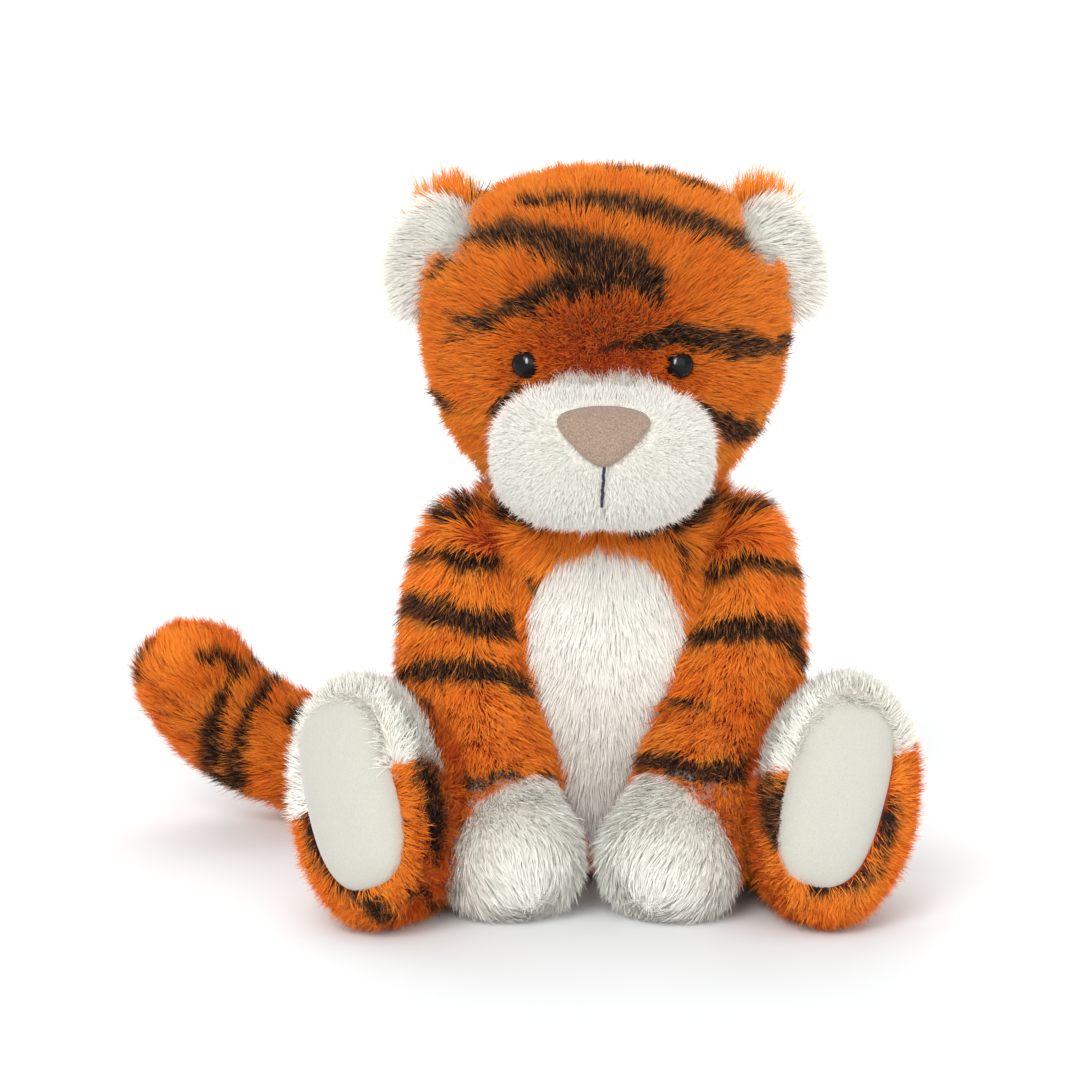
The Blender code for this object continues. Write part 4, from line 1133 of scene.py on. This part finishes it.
def make_torso():
    strokes = torso_strokes()
    skin_piece("torso_backing", TORSO_SKIN, "torso",
               ("torso_skin", "torso_stuffing", "bean_bag"), flat_skin_colour(strokes, TORSO_SEED))
    rng = np.random.default_rng(TORSO_ROOTS)
    root, normal, flow, _ = TORSO_SKIN.scatter(DENSITY, rng)
    keep = exposed(root, [], [TREES["leg_left"], TREES["leg_right"], TREES["tail"]])
    for side, label in SIDES.items():
        tree = TREES[f"arm_{label}"]
        raised = turned_about(root, SHOULDER * (side, 1, 1), ARM_AXIS, -ARM_SWING)
        keep &= ~(buried(root, tree) & buried(raised, tree))
    keep &= ~resting(root, normal, 0.6, 0.003)
    middle = np.hypot(root[:, 0], root[:, 1]) < NECK_HIDDEN
    keep &= ~((normal[:, 2] > 0.8) & (root[:, 2] > NECK - 0.004) & middle)
    root, normal, flow = chosen(keep, root, normal, flow)
    # The fur lies down, but stands out and up in a collar under the head
    aside = np.maximum(smooth(0.014, 0.03, np.abs(root[:, 0])), root[:, 1] > 0)
    collar = smooth(0.108, 0.122, root[:, 2]) * aside
    outwards = np.outer(np.tanh(root[:, 0] / 0.008), RIGHT)
    down = -flow * (1 - 1.6 * collar)[:, None] + outwards * (0.25 + 0.5 * collar)[:, None]
    edge = bib_edge(root)
    bib = (edge > 0) & (normal[:, 1] < -0.1)
    length = LONG * (0.55 + 0.45 * smooth(0.0, 0.02, root[:, 2])) * (1 + 0.3 * collar)
    lift = LIFT + 0.3 * collar
    orange_pile("torso_pile", "torso", chosen(~bib, root, normal, down, length, lift), strokes,
                (TORSO_SEED, TORSO_STRANDS))
    return chosen(bib, root, normal, down, length, edge)


BIB_ROWS, BIB_COLUMNS = 40, 24
BIB_RAISED, BIB_THICK, BIB_MARGIN = 0.0004, 0.0012, 0.001


def make_bib(root, normal, down, length, edge):
    """The bib's own panel under its fur."""
    rows, columns = BIB_ROWS, BIB_COLUMNS
    verts = np.zeros((rows + 1, columns + 1, 3))
    for i in range(rows + 1):
        z = BIB_BOTTOM + BIB_MARGIN + (BIB_TOP - BIB_BOTTOM - 2 * BIB_MARGIN) * i / rows
        half = float(bib_half(np.array([z]))[0])
        for j in range(columns + 1):
            place, way = from_front(TREES["torso"], half * (2 * j / columns - 1), z, -0.2)
            verts[i, j] = place + way * BIB_RAISED
    front = verts.reshape(-1, 3)
    back = front - FRONT * BIB_THICK
    wide, n = columns + 1, len(front)
    faces = []
    for i in range(rows):
        for j in range(columns):
            a = i * wide + j
            faces.append((a, a + 1, a + wide + 1, a + wide))
            faces.append((n + a, n + a + wide, n + a + wide + 1, n + a + 1))
    rim = ([(0, j) for j in range(columns)] + [(i, columns) for i in range(rows)]
           + [(rows, columns - j) for j in range(columns)] + [(rows - i, 0) for i in range(rows)])
    for (i, j), (k, m) in zip(rim, rim[1:] + rim[:1]):
        a, b = i * wide + j, k * wide + m
        faces.append((b, a, n + a, n + b))
    colours = np.tile(CREAM_ROOT, (2 * n, 1))
    panel = faced("bib_backing", (np.concatenate([front, back]), faces), BACKING, colours)
    settle(panel, "torso", ("bib_panel",))
    # The bib is pinker at its seam and low down, and its lower part, between the arms, is darkened as painted
    # shade.
    blush = np.maximum(0.45 * (1 - smooth(0.0, 0.004, edge)), 0.2 * smooth(0.08, 0.04, root[:, 2]))
    dim_and_painted_shade = 1 - 0.19 * smooth(0.09, 0.04, root[:, 2])
    cream_pile("bib_pile", "torso", (root, normal, down, length * 0.95, LIFT - 0.22),
               cream_colours(root, BIB_SEED, blush) * dim_and_painted_shade[:, None, None], BIB_STRANDS)


TUFT_PIXELS = {-1: (453, 228), 1: (771, 226)}
TUFT_HALF = (0.0083, 0.0118)


def tuft_middle(side):
    return hit(TREES["head"], TUFT_PIXELS[side], HEAD_MIDDLE)


def tuft_reach(points, side):
    """How far each point of the head lies from the middle of an ear's front tuft, 1 at its edge."""
    rel = points - tuft_middle(side)
    reach = np.hypot((rel @ RIGHT) / TUFT_HALF[0], (rel @ UPWARD) / TUFT_HALF[1])
    return np.where(points[:, 1] < 0.004, reach, -OUTSIDE)


def eye_seat(tree, side):
    """Where an eye sits on the head, and the way that it looks."""
    place, way = from_front(tree, FACE_SHIFT + side * EYE_SPREAD, EYE_HEIGHT)
    return place, unit(way)


HEAD_TREE = Surface(form_surface(HEAD, 0.0)).tree()
EYE_SEATS = {side: eye_seat(HEAD_TREE, side) for side in SIDES}
EYES = bpy.data.collections.new("eyes")
EYE_RINGS, EYE_SIDES = 16, 48
EYE_RIM, SHANK_RADIUS, SHANK_LENGTH = 0.0006, 0.0022, 0.004


def eye_profile():
    """The radius and height of each ring of an eye: a dome, its flat back and its shank."""
    profile = []
    for k in range(EYE_RINGS + 1):
        angle = math.pi / 2 * k / EYE_RINGS
        profile.append((EYE_RADIUS * math.sin(angle), EYE_RIM + (EYE_DOME - EYE_RIM) * math.cos(angle)))
    return profile + [(EYE_RADIUS, 0.0), (SHANK_RADIUS, -0.0003), (SHANK_RADIUS, -SHANK_LENGTH),
                      (0.0, -SHANK_LENGTH)]


def make_eyes():
    turn = np.arange(EYE_SIDES) / EYE_SIDES * 2 * math.pi
    for side, label in SIDES.items():
        seat, look = EYE_SEATS[side]
        rise = unit(UP - look * (UP @ look))
        around = np.cross(rise, look) * np.cos(turn)[:, None] + rise * np.sin(turn)[:, None]
        points = [seat + look * (height - EYE_SINK) + around * radius for radius, height in eye_profile()]
        dome = faced(f"eye_dome_{label}", Surface(np.array(points)).mesh(), EYE)
        settle(dome, "head", (f"eye_{label}",))
        EYES.objects.link(dome)
        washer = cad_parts[f"eye_washer_{label}"].data
        washer.materials.clear()
        washer.materials.append(NYLON)


def make_tufts(root, normal):
    """The ears' linings reach round onto the front of the head."""
    for side, label in SIDES.items():
        own_root, own_normal = chosen(root[:, 0] * side > 0, root, normal)
        _, outward, _ = ear_frame(side)
        edge = 1 - tuft_reach(own_root, side)
        way = outward * 0.2 + unit(own_root - tuft_middle(side)) * 0.7
        length = 0.0072 + 0.002 * np.clip(edge, 0, 1)
        colours = cream_colours(own_root, TUFT_SEED + side, 0.25 * (edge < 0.15))
        cream_pile(f"ear_tuft_pile_{label}", f"ear_{label}", (own_root, own_normal, way, length, 1.05),
                   colours, TUFT_STRANDS + side)


# The pile leaves the bridge of the nose and sweeps up, out and back, then down behind
BRIDGE = np.array([FACE_SHIFT, -0.052, 0.172])
BEHIND_WAY = np.array([0, 0.35, -0.9])


def stretched(rel, stretch):
    """Lengths of vectors in a measure that is stretched along each axis."""
    return np.linalg.norm(rel / np.array(stretch), axis=1)


def make_head():
    strokes = head_strokes()
    skin_piece("head_backing", HEAD_SKIN, "head", ("head_skin", "head_stuffing"),
               flat_skin_colour(strokes, HEAD_SEED))
    rng = np.random.default_rng(HEAD_ROOTS)
    root, normal, _, _ = HEAD_SKIN.scatter(DENSITY, rng)
    keep = exposed(root, [], [TREES["muzzle"], TREES["ear_left"], TREES["ear_right"]])
    middle = np.hypot(root[:, 0], root[:, 1]) < NECK_HIDDEN
    keep &= ~(resting(root, normal, 0.75, NECK + 0.004) & middle)
    eye_gap = np.minimum(*[np.linalg.norm(root - seat, axis=1) for seat, _ in EYE_SEATS.values()])
    keep &= eye_gap > EYE_RADIUS - 0.0007
    tuft = np.minimum(tuft_reach(root, -1), tuft_reach(root, 1)) < 1
    make_tufts(*chosen(keep & tuft, root, normal))
    root, normal, eye_gap = chosen(keep & ~tuft, root, normal, eye_gap)
    back = smooth(-0.012, 0.02, root[:, 1])[:, None]
    low = smooth(0.17, 0.14, root[:, 2])[:, None]
    way = unit(root - BRIDGE) * (1 - 0.75 * back) + BEHIND_WAY * back * 0.8 - UP * 0.45 * low
    eye_way = np.zeros_like(root)
    for seat, _ in EYE_SEATS.values():
        near = np.exp(-((np.linalg.norm(root - seat, axis=1) / 0.0075) ** 2))[:, None]
        eye_way += near * unit(root - seat)
    way = way - eye_way * 0.1
    near_eye = 1 - smooth(0.0, 0.011, eye_gap - EYE_RADIUS)
    face = smooth(0.058, 0.034, stretched(root - MUZZLE_MIDDLE, (1.25, 1.1, 0.85)))
    brow = smooth(0.034, 0.008, stretched(root - BRIDGE - UP * 0.008, (1.2, 1, 1)))
    length = LONG * (1 - 0.22 * near_eye)
    length *= (1 - 0.3 * face) * (1 - 0.22 * brow)
    lift = LIFT + 0.08 + 0.34 * np.maximum(near_eye, brow)
    tousle = rng.normal(size=(len(root), 3)) * 0.75 * brow[:, None]
    flush = stretched(root - BRIDGE - UP * 0.012, (1.3, 1, 1))
    red = 0.6 * smooth(0.036, 0.012, flush) + 0.35 * smooth(0.07, 0.03, flush)
    orange_pile("head_pile", "head", (root, normal, unit(way) + tousle, length, lift), strokes,
                (HEAD_SEED, HEAD_STRANDS), red, HEAD_PAINTED_SHADE)


# The right half of the nose's edge from top to bottom, as shares of its half width and height
NOSE_SHIELD = ((0, 1), (0.4, 0.96), (0.75, 0.84), (0.95, 0.64), (0.97, 0.4), (0.8, 0.02), (0.48, -0.54),
               (0.22, -0.87), (0, -1))
NOSE_STEPS, NOSE_KEPT = 181, slice(20, 161)


def nose_edge(angles):
    """How far the edge of the nose lies from its middle at angles from straight up."""
    right = [(NOSE_HALF[0] * x, NOSE_HALF[1] * z) for x, z in NOSE_SHIELD]
    line = smooth_line([(-right[1][0], right[1][1]), *right, (-right[-2][0], right[-2][1])], NOSE_STEPS)
    line = line[NOSE_KEPT]
    reach = np.arctan2(line[:, 0], line[:, 1])
    order = np.argsort(reach)
    size = np.hypot(line[:, 0], line[:, 1])[order]
    turn = np.abs((np.asarray(angles) + math.pi) % (2 * math.pi) - math.pi)
    return np.interp(turn, reach[order], size)


def outside_nose(root):
    """How far outside the nose's edge each point lies."""
    dx, dz = root[:, 0] - NOSE_MIDDLE[0], root[:, 2] - NOSE_MIDDLE[1]
    gap = np.hypot(dx, dz) - nose_edge(np.arctan2(dx, dz))
    return np.where(root[:, 1] < -0.06, gap, 1.0)


def beside_mouth(root):
    """How far beside the mouth's stitches each point lies."""
    near = (root[:, 2] < 0.152) & (root[:, 2] > 0.1335) & (root[:, 1] < -0.065)
    return np.where(near, np.abs(root[:, 0] - FACE_SHIFT), 1.0)


NOSE_FOOT = np.array([FACE_SHIFT, -0.08, 0.157])


def make_muzzle():
    skin_piece("muzzle_backing", MUZZLE_SKIN, "head", ("muzzle_skin", "muzzle_stuffing"),
               plain_colour(CREAM_ROOT))
    root, normal, _, _ = MUZZLE_SKIN.scatter(MUZZLE_DENSITY, np.random.default_rng(MUZZLE_ROOTS))
    nose, mouth = outside_nose(root), beside_mouth(root)
    keep = exposed(root, [], [TREES["head"]]) & (nose > -0.0004) & (mouth > 0.0005)
    root, normal, nose, mouth = chosen(keep, root, normal, nose, mouth)
    # The pile leaves the nose on all sides, and stands up over it
    top = smooth(0.162, 0.168, root[:, 2])[:, None]
    way = (unit(root - NOSE_FOOT) - UP * 0.35) * (1 - top) + np.array([0, 0.1, 0.9]) * top
    edge = smooth(-0.062, -0.046, root[:, 1])
    length = 0.0034 + 0.0068 * edge + 0.0004 * top[:, 0] + 0.0018 * smooth(0.14, 0.13, root[:, 2])
    length *= 0.45 + 0.55 * smooth(0.0, 0.003, nose)
    length *= 0.5 + 0.5 * smooth(0.0, 0.002, mouth)
    rim = smooth(-0.058, -0.044, root[:, 1])
    # The muzzle's front is dimmer than its rim, and its top over the nose is darkened further as painted
    # shade.
    dim_and_painted_shade = 0.87 + 0.1 * edge - 0.05 * top[:, 0]
    colours = cream_colours(root, MUZZLE_SEED, 0.35 * rim) * dim_and_painted_shade[:, None, None]
    cream_pile("muzzle_pile", "head", (root, normal, way, length, 1.02), colours, MUZZLE_STRANDS,
               width=0.00026, clump=0.15, jitter=0.4, ruffle=0.7)


NOSE_RINGS, NOSE_SIDES = 22, 96
NOSE_RAISED, NOSE_PUFF, NOSE_DEPTH = 0.0003, 0.0021, 0.0022
MOUTH_LOW, MOUTH_HIGH, STITCHES = 0.1352, 0.1487, 6
STITCH_SHARE, STITCH_LEAN, STITCH_RAISED = 0.82, 0.00012, 0.0006
THREAD_RADIUS = 0.00055


def stitch(tree, number):
    """The middle line of one back stitch of the mouth."""
    reach = MOUTH_HIGH - MOUTH_LOW
    start = MOUTH_HIGH - reach * number / STITCHES
    end = MOUTH_HIGH - reach * (number + STITCH_SHARE) / STITCHES
    lean = STITCH_LEAN * (-1) ** number
    line = []
    for t in np.linspace(0, 1, 7):
        x = FACE_SHIFT + lean * (1 - 2 * t) - STITCH_LEAN * number
        place, way = from_front(tree, x, start + (end - start) * t)
        line.append(place + way * (STITCH_RAISED + STITCH_RAISED * math.sin(math.pi * t)))
    return line


def make_nose():
    tree = Surface(form_surface(MUZZLE, 0.0, *MUZZLE_GRID)).tree()
    points = np.zeros((NOSE_RINGS + 2, NOSE_SIDES, 3))
    for i in range(NOSE_RINGS + 1):
        share = i / NOSE_RINGS
        height = NOSE_RAISED + NOSE_PUFF * (1 - share**5) ** 0.6
        for j in range(NOSE_SIDES):
            angle = 2 * math.pi * j / NOSE_SIDES
            reach = float(nose_edge([angle])[0]) * max(share, 0.001)
            x, z = NOSE_MIDDLE[0] + reach * math.sin(angle), NOSE_MIDDLE[1] + reach * math.cos(angle)
            place, way = from_front(tree, x, z)
            points[i, j] = place + way * height
    points[-1] = points[-2] - FRONT * NOSE_DEPTH
    settle(faced("nose_pad", Surface(points).mesh(), NOSE), "head", ("nose_patch",))
    curve = bpy.data.curves.new("mouth_thread", "CURVE")
    curve.dimensions = "3D"
    curve.bevel_depth = THREAD_RADIUS
    curve.bevel_resolution = 4
    curve.use_fill_caps = True
    for number in range(STITCHES):
        line = stitch(tree, number)
        spline = curve.splines.new("POLY")
        spline.points.add(len(line) - 1)
        for point, place in zip(spline.points, line):
            point.co = (*place, 1.0)
    curve.materials.append(THREAD)
    settle(placed("mouth_thread", curve), "head", ("mouth_stitch",))


def lining_depth(points, side):
    """How far inside the edge of an ear's lining each point lies, over 0 on the lining."""
    seat, outward, along = ear_frame(side)
    rel = points - seat
    y, z = (rel @ outward) / EAR_REACH, (rel @ along) / EAR_LENGTH
    reach = np.hypot((y - 0.2) / 0.98, (z + 0.1) / 0.92)
    return np.where(rel @ FRONT > -0.0022 + 0.003 * smooth(0.3, 0.8, z), 1 - reach, -1.0)


def make_ears():
    for side, label in SIDES.items():
        surface, body = EAR_SKINS[side], f"ear_{label}"
        seat, outward, _ = ear_frame(side)

        def colour(verts):
            return np.where((lining_depth(verts, side) > 0)[:, None], CREAM_ROOT, ROOT * 1.4)

        skin_piece(f"ear_backing_{label}", surface, body,
                   (f"ear_back_{label}", f"ear_lining_{label}"), colour)
        root, normal, _, _ = surface.scatter(EAR_DENSITY, np.random.default_rng(EAR_ROOTS + side))
        root, normal = chosen(exposed(root, [], [TREES["head"]]), root, normal)
        inner = lining_depth(root, side) > 0
        behind = smooth(0.001, -0.003, (root - seat) @ FRONT)[:, None]
        way = unit(root - (seat - outward * 0.012)) + outward * 0.3 - FRONT * 0.9 * behind
        spot, up, lined_way = chosen(inner, root, normal, way)
        blush = 0.1 * smooth(0.2, 0.0, lining_depth(spot, side))
        length = 0.0052 + 0.0036 * smooth(0.0, 0.7, up @ FRONT)
        cream_pile(f"ear_lining_pile_{label}", body, (spot, up, lined_way - UP * 0.5, length, 1.0),
                   cream_colours(spot, LINING_SEED + side, blush), LINING_STRANDS + side)
        crest = smooth(0.15, 0.6, ((root - seat) @ UP) / EAR_LENGTH)
        way = way * (1 - 0.6 * crest)[:, None] + (UP + FRONT * 0.25) * crest[:, None]
        root, normal, way, crest = chosen(~inner, root, normal, way, crest)
        strokes = [laid(TREES[body], EAR_STRIPE, (12, 16, 12))] if side < 0 else []
        colours = orange_colours(root + normal * PILE_LEVEL, strokes, EAR_SEED + side, None, EAR_TONE)
        grow(f"ear_back_pile_{label}", body, "orange_plush", ORANGE_FUR, root, normal, way,
             0.0072 + 0.0052 * crest, 0.8 + 0.25 * crest, colours, EAR_STRANDS + side, clump=0.1, jitter=0.3)


def make_arms():
    for side, label in SIDES.items():
        surface, body = ARM_SKINS[side], f"arm_{label}"
        middles = surface.points.mean(1)
        lengths = np.cumsum(np.linalg.norm(np.diff(middles, axis=0), axis=1))
        wrist = int(np.searchsorted(lengths, lengths[-1] * WRIST_SHARE))
        strokes = bands(ARM_SHELLS[side], ARM_STROKES[side])
        skin_piece(f"arm_backing_{label}", surface.part(0, wrist), body,
                   (f"arm_skin_{label}", f"arm_stuffing_{label}"), flat_skin_colour(strokes, ARM_SEED + side))
        skin_piece(f"paw_backing_{label}", surface.part(wrist, surface.rings - 1), body,
                   (f"paw_{label}",), plain_colour(CREAM_ROOT))
        root, normal, flow, place = surface.scatter(DENSITY, np.random.default_rng(ARM_ROOTS + side))
        pivot = SHOULDER * (side, 1, 1)
        others = [TREES["torso"], TREES[f"leg_{label}"], TREES[f"arm_{SIDES[-side]}"]]
        keep = exposed(root, swings(pivot, ARM_AXIS, ARM_SWING), others) & ~resting(root, normal, 0.7)
        root, normal, flow, place = chosen(keep, root, normal, flow, place)
        # The paw's seam slants across the wrist, and is measured in rings past it
        ring = place[:, 0] * (surface.rings - 1)
        lateral = (root - middles[ring.astype(int)]) @ RIGHT * side
        past = ring - wrist - PAW_SHIFT - PAW_SLANT * lateral
        paw = past > 0.8 * wobble(root, 0.01, PAW_WAVE)
        top = smooth(-0.002, 0.012, (root - pivot) @ (UP - RIGHT * side * 0.6))
        over = RIGHT * side * 0.9 + UP * 0.35
        way = (flow - UP * 0.15) * (1 - top)[:, None] + over * top[:, None]
        length = LONG * (0.85 + 0.15 * smooth(0, -12, past)) * (1 + 0.2 * top)
        lift = LIFT + 0.25 * top
        orange_pile(f"arm_pile_{label}", body, chosen(~paw, root, normal, way, length, lift), strokes,
                    (ARM_SEED + side, ARM_STRANDS + side), None, ARM_PAINTED_LIGHT)
        root, normal, way, past, ring = chosen(paw, root, normal, way, past, ring)
        length = LONG * (0.8 + 0.22 * smooth(wrist + 6, surface.rings - 6, ring))
        cream_pile(f"paw_pile_{label}", body, (root, normal, way, length, LIFT),
                   cream_colours(root, PAW_SEED + side, 0.4 * smooth(3.5, 0, past)), PAW_STRANDS + side)


def sole_frame(side):
    """A sole's middle, and the halves of its width and height as vectors."""
    tip, ahead = foot(side)
    outer = form_surface(leg_form(side), 0.0, 160, 96)
    ring = outer[int(np.argmax(((outer - tip) @ ahead + SOLE).mean(1) > 0))]
    middle = ring.mean(0)
    middle = middle - ahead * ((middle - tip) @ ahead + SOLE)
    halves = np.stack([ring[k] - middle for k in (0, len(ring) // 4)])
    halves = (halves - np.outer(halves @ ahead, ahead)) * [[SOLE_WIDE], [SOLE_HIGH]]
    wide, high = turned_about(halves, np.zeros(3), ahead, -side * SOLE_LEAN)
    return middle + unit(UP - ahead * (ahead @ UP)) * SOLE_SHIFT - RIGHT * SOLE_ASIDE, wide, high


def fuller(across, along):
    """The measure of a fuller oval: 1 on its edge."""
    return np.abs(across) ** SOLE_FULLNESS + np.abs(along) ** SOLE_FULLNESS


def sole_reach(points, side):
    """How far each point lies from a sole's middle: 1 at the edge of the pad."""
    middle, wide, high = sole_frame(side)
    rel = points - middle
    return fuller(rel @ wide / (wide @ wide), rel @ high / (high @ high)) ** (1 / SOLE_FULLNESS)


def sole_points(side, ahead, rings=30, sides=96):
    """A puffed pad: its outline is a fuller oval than the foot, and it rounds over to a soft crown."""
    middle, wide, high = sole_frame(side)
    turn = np.arange(sides) / sides * 2 * math.pi
    full = fuller(np.cos(turn), np.sin(turn)) ** (-1 / SOLE_FULLNESS)
    outline = np.outer(np.cos(turn) * full, wide) + np.outer(np.sin(turn) * full, high)
    points = np.zeros((rings + 3, sides, 3))
    points[0] = middle + outline * 0.9 - ahead * (SOLE_UNDER + 0.0015)
    points[1] = middle + outline * 0.985 - ahead * (SOLE_UNDER + 0.0006)
    for i in range(rings + 1):
        angle = 0.5 * math.pi * i / rings
        spread, rise = math.cos(angle) ** SOLE_ROUND, math.sin(angle)
        points[i + 2] = middle + outline * max(spread, 1e-4) + ahead * (rise * SOLE_PUFF - SOLE_UNDER)
    return on_floor(points)


# The toes' seam wavers by two waves, each by its reach and size, with the seeds above
TOE_WAVER = ((0.0015, 0.012), (0.0018, 0.009))


def toe_height(points, side):
    """How far each point lies above the lower seam of the toe cap."""
    tip, ahead = foot(side)
    rise, outer = foot_ways(ahead, side)
    rel = points - tip
    slant, height = TOE_SEAMS[side]
    return rel @ rise + slant * (rel @ outer) - height


def foot_ways(ahead, side):
    """The ways up and outwards across a foot's end."""
    level = unit(np.cross(ahead, UP))
    rise = np.cross(ahead, level)
    return rise if rise[2] > 0 else -rise, level * (1 if np.cross(ahead, UP)[0] * side > 0 else -1)


def in_toe_cap(points, side):
    tip, ahead = foot(side)
    (depth_waver, depth_size), (seam_waver, seam_size) = TOE_WAVER
    depth = (points - tip) @ ahead + SOLE
    behind = depth > -TOE_DEPTH + depth_waver * wobble(points, depth_size, TOE_WAVES[0])
    return behind & (toe_height(points, side) > seam_waver * wobble(points, seam_size, TOE_WAVES[1]))


def make_legs():
    for side, label in SIDES.items():
        body = f"leg_{label}"
        tip, ahead = foot(side)
        rise, _ = foot_ways(ahead, side)
        strokes = leg_strokes(side)
        points = LEG_SKINS[side].points
        past = np.maximum((points - tip) @ ahead + SOLE - 0.0004, 0.0)
        leg = Surface(points - past[..., None] * ahead)
        striped = flat_skin_colour(strokes, LEG_SEED + side)

        def colour(verts):
            return np.where(in_toe_cap(verts, side)[:, None], CREAM_ROOT, striped(verts))

        skin_piece(f"leg_backing_{label}", leg, body,
                   (f"leg_skin_{label}", f"leg_stuffing_{label}", f"toe_cap_{label}"), colour)
        sole = faced(f"sole_pad_{label}", Surface(sole_points(side, ahead)).mesh(), VELOUR)
        settle(sole, body, (f"sole_{label}",))
        rng = np.random.default_rng(LEG_ROOTS + side)
        root, normal, flow, _ = leg.scatter(DENSITY * 1.25, rng)
        keep = exposed(root, [(hip(side), LEG_AXIS * side, LEG_SWING)], [TREES["torso"]])
        keep &= ~resting(root, normal, 0.7)
        depth = (root - tip) @ ahead + SOLE
        keep &= (depth < -0.0006) | (sole_reach(root, side) > 0.94)
        keep &= rng.random(len(root)) < 0.8 + 0.2 * smooth(-0.016, -0.008, depth)
        root, normal, flow, depth = chosen(keep, root, normal, flow, depth)
        radial = root - sole_frame(side)[0]
        radial = unit(radial - np.outer(radial @ ahead, ahead))
        height = (root - tip) @ rise
        toe = in_toe_cap(root, side)
        front = smooth(-0.012, -0.001, depth)
        face = smooth(0.6, 0.9, normal @ ahead)
        way = flow * (1 - 1.35 * front[:, None]) + UP * 0.15 * (height > 0)[:, None]
        # The toes' fur stands against the pad and leans over its top edge
        over = face * toe * smooth(0.0, 0.6, radial @ rise)
        way = way * (1 - face)[:, None] + radial * (face - 1.5 * over)[:, None]
        length = LONG * (1 - 0.16 * front - 0.24 * face + 0.3 * over)
        lift = LIFT + 0.35 * front - 0.75 * face + 0.7 * over
        rear = front[~toe]
        orange_pile(f"leg_pile_{label}", body, chosen(~toe, root, normal, way, length, lift), strokes,
                    (LEG_SEED + side, LEG_STRANDS + side), None, LEG_PAINTED_SHADE, width=0.00033 - 0.00006 * rear,
                    clump=0.2 - 0.1 * rear, jitter=0.24 + 0.1 * rear)
        toes = chosen(toe, root, normal, way, length, lift)
        blush = 0.4 * smooth(0.003, 0.0, np.minimum(toe_height(toes[0], side), depth[toe] + TOE_DEPTH))
        cream_pile(f"toe_pile_{label}", body, toes, cream_colours(toes[0], TOE_SEED + side, blush),
                   TOE_STRANDS + side, jitter=0.14 + 0.3 * front[toe])


def make_tail():
    strokes = tail_strokes()
    skin_piece("tail_backing", TAIL_SKIN, "tail", ("tail_skin", "tail_stuffing"),
               flat_skin_colour(strokes, TAIL_SEED))
    root, normal, flow, _ = TAIL_SKIN.scatter(DENSITY, np.random.default_rng(TAIL_ROOTS))
    keep = exposed(root, swings(TAIL_ROOT, TAIL_AXIS, TAIL_SWING), [TREES["torso"]])
    root, normal, flow = chosen(keep & ~resting(root, normal, 0.75), root, normal, flow)
    end = smooth(0.016, 0.004, np.linalg.norm(root - TAIL_SKIN.points[0].mean(0), axis=1))[:, None]
    way = flow * (1 - end) - UP * end
    orange_pile("tail_pile", "tail", (root, normal, way, LONG * (1 - 0.25 * end[:, 0]), LIFT), strokes,
                (TAIL_SEED, TAIL_STRANDS))


FLOOR_REACH = 14.0
WORLD_STRENGTH = 0.66
# Each sun's way, strength and spread in degrees
SUNS = {
    "key": ((0.4, 0.9, -0.8), 1.5, 30),
    "fill": ((-0.35, 0.95, -0.22), 1.5, 60),
    "back": ((0.1, -0.8, -0.7), 1.25, 60),
}
WINDOW_PLACE, WINDOW_AIM = Vector((-0.26, -1.0, 0.62)), Vector((0, -0.05, 0.177))


def placed(name, data, way=None, place=(0, 0, 0)):
    """An object in the scene, which looks along a way if one is given."""
    obj = bpy.data.objects.new(name, data)
    obj.location = place
    if way is not None:
        obj.rotation_mode = "QUATERNION"
        obj.rotation_quaternion = Vector(way).to_track_quat("-Z", "Y")
    bpy.context.scene.collection.objects.link(obj)
    return obj


def make_stage():
    data = bpy.data.meshes.new("floor")
    corners = [(x * FLOOR_REACH, y * FLOOR_REACH, 0) for x, y in ((-1, -1), (1, -1), (1, 1), (-1, 1))]
    data.from_pydata(corners, [], [(0, 1, 2, 3)])
    data.materials.append(FLOOR)
    placed("floor", data)
    world = bpy.data.worlds.new("studio")
    world.use_nodes = True
    background = world.node_tree.nodes["Background"]
    background.inputs["Color"].default_value = (1.0, 1.0, 1.0, 1)
    background.inputs["Strength"].default_value = WORLD_STRENGTH
    bpy.context.scene.world = world
    for name, (way, strength, spread) in SUNS.items():
        light = bpy.data.lights.new(name, "SUN")
        light.energy = strength
        light.angle = math.radians(spread)
        placed(name, light, way)
    # A tall window of light that only the eyes reflect
    pane = bpy.data.lights.new("catch_light", "AREA")
    pane.shape, pane.size, pane.size_y, pane.energy = "ELLIPSE", 0.32, 0.7, 26.0
    window = placed("catch_light", pane, WINDOW_AIM - WINDOW_PLACE, WINDOW_PLACE)
    window.light_linking.receiver_collection = EYES
    lens = bpy.data.cameras.new("photo_view")
    lens.sensor_width = SENSOR
    lens.lens = SENSOR * PIXELS_PER_SLOPE / SHOT
    lens.clip_start, lens.clip_end = 0.05, 60.0
    bpy.context.scene.camera = placed("photo_view", lens, FORWARD, CAMERA_PLACE)
    bpy.context.scene.view_settings.view_transform = "Standard"


make_stage()
make_bib(*make_torso())
make_head()
make_muzzle()
make_nose()
make_eyes()
make_ears()
make_arms()
make_legs()
make_tail()
